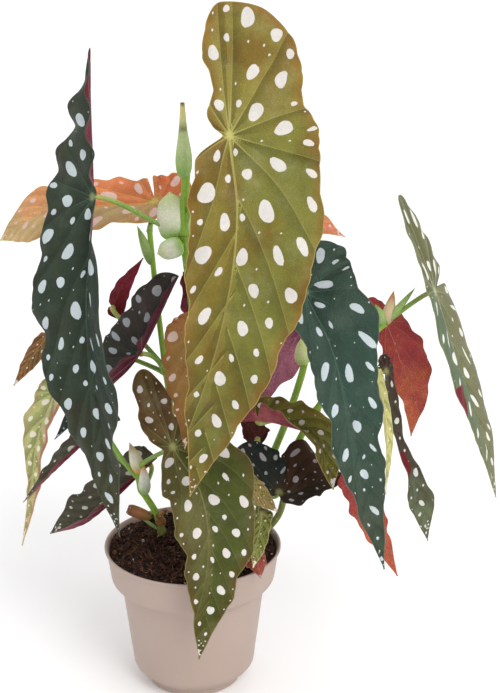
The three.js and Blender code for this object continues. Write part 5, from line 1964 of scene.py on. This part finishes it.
@dataclass(frozen=True)
class Soil:
    """Loose dark soil with fibres and perlite, in millimetres.

    The outline is the (radius, height) of its side, and the waves are its surface's pitches and
    depths. Crumbs and beads are lumps, and a pair is the least and the greatest of a random size.
    """

    level: float = 97.4
    crown: float = 1.3
    top_radius: float = 56.2
    outline: tuple[Pair, ...] = (
        (28.5, 2.4), (29.6, 5.3), (38.2, 12.2), (39.6, 14), (46.8, 72), (53.6, 78),
    )  # fmt: skip
    waves: tuple[Pair, ...] = (
        (38, 0.48), (23, 0.42), (13, 0.3), (8, 0.24), (5, 0.204), (3.3, 0.168), (2.2, 0.12),
    )  # fmt: skip
    crumb_radii: Pair = (0.4, 2.6)
    bead_radii: Pair = (0.5, 1.5)
    lump_corners: Pair = (0.45, 1.25)
    lump_stretch: Pair = (0.45, 1.35)
    fibre_limit: float = 50
    fibre_bow: Pair = (-0.9, 0.9)
    fibre_length: Pair = (3, 11)
    fibre_radius: Pair = (0.18, 0.55)
    fibre_lift: Pair = (0, 1.4)
    rings: int = 90
    sides: int = 190
    crumbs: int = 2400
    beads: int = 70
    fibres: int = 240
    seed: int = 5

    def surface(self, x: Array, y: Array) -> Array:
        """The soil's height: a low dome with three sines of random heading at each pitch.

        Args:
            x: Places along X.
            y: Places along Y.

        Returns:
            Heights.
        """
        rng = np.random.default_rng(self.seed)
        height = self.level + self.crown * (1 - (np.hypot(x, y) / self.top_radius) ** 2)
        for pitch, depth in self.waves:
            for _ in range(3):
                turn, shift = rng.uniform(0, TURN, 2)
                run = x * math.cos(turn) + y * math.sin(turn)
                height = height + depth * np.sin(TURN / pitch * run + shift)
        return height

    def bed(self) -> None:
        """The body of soil: the waved surface, and a turned side that follows the pot."""
        radius = np.geomspace(0.6, self.top_radius, self.rings)[::-1, None]
        angle = ring_angles(self.sides)
        x, y = radius * np.cos(angle), radius * np.sin(angle)
        top = np.stack([x, y, self.surface(x, y)], axis=-1)
        shell = Shell()
        shell.tube(np.concatenate([lathe(np.array(self.outline), self.sides), top]))
        finish = GrainFinish("soil_dark", (22, 12, 9), (80, 51, 39), 520, 0.0012, 0.95, (128, 96, 70), 0.4)
        place_piece("soil_bed", shell.mesh("soil"), [finish.material()], "soil", "soil")

    def scatter(self, rng: np.random.Generator, count: int) -> tuple[Array, Array]:
        """Random places on the surface, evenly spread: radius = R * sqrt(random).

        Args:
            rng: The source of random numbers.
            count: How many.

        Returns:
            Their places along X and along Y.
        """
        radius = (self.top_radius - 1.5) * np.sqrt(rng.uniform(0, 1, count))
        turn = rng.uniform(0, TURN, count)
        return radius * np.cos(turn), radius * np.sin(turn)

    def lumps(self, name: str, count: int, sizes: Pair, sink: float, finish: GrainFinish) -> None:
        """Uneven little lumps, each a turned, stretched icosahedron with its corners moved.

        Args:
            name: The piece's name.
            count: How many lumps.
            sizes: The least and the greatest radius.
            sink: How far each is pressed in, as a share of its radius.
            finish: Their finish.
        """
        rng = np.random.default_rng(self.seed + count)
        x, y = self.scatter(rng, count)
        size = sizes[0] + (sizes[1] - sizes[0]) * rng.uniform(0, 1, count) ** 2.2
        centre = np.stack([x, y, self.surface(x, y) + size * (0.4 - sink)], axis=-1)
        shape = icosahedron()[None] * rng.uniform(*self.lump_corners, (count, 12, 1))
        shape = shape * rng.uniform(*self.lump_stretch, (count, 1, 3)) * size[:, None, None]
        frames = np.linalg.qr(rng.normal(size=(count, 3, 3)))[0]
        frames *= np.sign(np.linalg.det(frames))[:, None, None]
        points = centre[:, None] + np.einsum("nij,nkj->nki", frames, shape)
        faces = np.array(ICOSAHEDRON_FACES)[None] + 12 * np.arange(count)[:, None, None]
        shell = Shell()
        shell.add(points.reshape(-1, 3) * MM, faces.reshape(-1, 3).tolist())
        place_piece(name, shell.mesh(name, 35), [finish.material()], "soil")

    def strands(self) -> None:
        """Short bent fibres and bark slivers that lie on the surface."""
        rng = np.random.default_rng(self.seed + 77)
        places = np.stack(self.scatter(rng, self.fibres), axis=-1)
        shell = Shell()
        for middle in places * 0.93:
            turn, bow = rng.uniform(0, TURN), rng.uniform(*self.fibre_bow)
            length, thick = rng.uniform(*self.fibre_length), rng.uniform(*self.fibre_radius)
            share = np.linspace(-0.5, 0.5, 7)
            way = turn + bow * share
            run = (length * share)[:, None] * np.stack([np.cos(way), np.sin(way)], axis=-1)
            x, y = np.clip(middle + run, -self.fibre_limit, self.fibre_limit).T
            z = self.surface(x, y) + 0.5 + rng.uniform(*self.fibre_lift) * np.abs(share * 2)
            taper = thick * (1 - 0.6 * np.abs(share * 2))
            shell.tube(tube(np.stack([x, y, z], axis=-1), taper, 5))
        finish = GrainFinish("soil_fibre", (74, 52, 36), (134, 98, 66), 900, 0.0003)
        place_piece("soil_fibres", shell.mesh("fibres"), [finish.material()], "soil")

    def build(self) -> None:
        """Makes the bed, the crumbs, the perlite and the fibres."""
        self.bed()
        crumb = GrainFinish("soil_crumb", (26, 15, 12), (102, 66, 50), 700, 0.0008)
        self.lumps("soil_crumbs", self.crumbs, self.crumb_radii, 0.2, crumb)
        bead = GrainFinish("perlite_white", (176, 158, 138), (226, 216, 202), 700, 0.0004)
        self.lumps("soil_perlite", self.beads, self.bead_radii, 0.1, bead)
        self.strands()


# ---- studio ----


@dataclass(frozen=True)
class Studio:
    """A pale floor, soft light and the camera, in metres and degrees."""

    camera_at: Point = (0.039, -1.069, 0.645)
    camera_pitch: float = -20.6
    lens: float = 90.9
    floor: float = 12.0
    world_light: float = 0.92
    sun_way: Point = (0.4, -0.7, 0.8)
    sun_strength: float = 1.1
    sun_spread: float = 30.0
    lamp_at: Point = (1.3, -1.1, 1.1)
    lamp_size: float = 1.6
    lamp_power: float = 6.0
    lamp_target: Point = (0.02, 0.0, 0.25)

    def camera(self) -> None:
        """Sets the camera level from side to side and tilted down."""
        data = bpy.data.cameras.new("view")
        data.lens, data.sensor_width = self.lens, 36.0
        data.clip_start, data.clip_end = 0.05, 50.0
        camera = link("view", data)
        camera.location = self.camera_at
        camera.rotation_euler = (math.radians(90 + self.camera_pitch), 0, 0)
        bpy.context.scene.camera = camera

    def light(self, name: str, kind: str, power: float, way: Array) -> bpy.types.Object:
        """Adds a light.

        Args:
            name: Its name.
            kind: Its type.
            power: How strong it is.
            way: The way from the plant to the light.

        Returns:
            The light.
        """
        data = bpy.data.lights.new(name, kind)
        data.energy = power
        lamp = link(name, data)
        x, y, z = unit(way)
        lamp.rotation_euler = (math.acos(z), 0, math.atan2(y, x) + math.pi / 2)
        return lamp

    def lights(self) -> None:
        """A wide soft sun, and a square lamp that looks at the middle of the plant."""
        sun = self.light("sun", "SUN", self.sun_strength, np.array(self.sun_way))
        sun.data.angle = math.radians(self.sun_spread)
        way = np.array(self.lamp_at) - np.array(self.lamp_target)
        lamp = self.light("fill", "AREA", self.lamp_power, way)
        lamp.data.size = self.lamp_size
        lamp.location = self.lamp_at

    def ground(self) -> None:
        """A plain floor with the faintest unevenness in its tone."""
        half = self.floor / 2
        mesh = bpy.data.meshes.new("floor")
        corners = [(-half, -half, 0), (half, -half, 0), (half, half, 0), (-half, half, 0)]
        mesh.from_pydata(corners, [], [(0, 1, 2, 3)])
        paint = Paint("floor_pale")
        tone = paint.mix(paint.noise(paint.place(), 3, 2), (250, 250, 250), (252, 252, 252))
        for key, value in {"Base Color": tone, "Roughness": 0.9, "Specular IOR Level": 0.1}.items():
            paint.feed(paint.shader.inputs[key], value)
        mesh.materials.append(paint.material)
        floor = link("floor", mesh)
        floor.location = (0, 0, -0.0005)

    def build(self) -> None:
        """Lights the room evenly, adds the camera, the floor and the lights."""
        scene = bpy.context.scene
        scene.view_settings.view_transform = "Standard"
        scene.world = bpy.data.worlds.new("studio")
        scene.world.use_nodes = True
        sky = scene.world.node_tree.nodes["Background"]
        sky.inputs["Color"].default_value = (1, 1, 1, 1)
        sky.inputs["Strength"].default_value = self.world_light
        self.camera()
        self.ground()
        self.lights()


# ---- assembly ----


def main() -> None:
    """Builds the studio and every piece."""
    logging.basicConfig(level=logging.INFO, format="%(message)s")
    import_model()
    Studio().build()
    Pot().build()
    Soil().build()
    leaves = {leaf.name: leaf for leaf in LEAVES}
    stems = StemFinish().material()
    for cane in CANES:
        cane.build(stems, leaves)
    for leaf in LEAVES:
        leaf.build()
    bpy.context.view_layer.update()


if __name__ == "__main__":
    main()
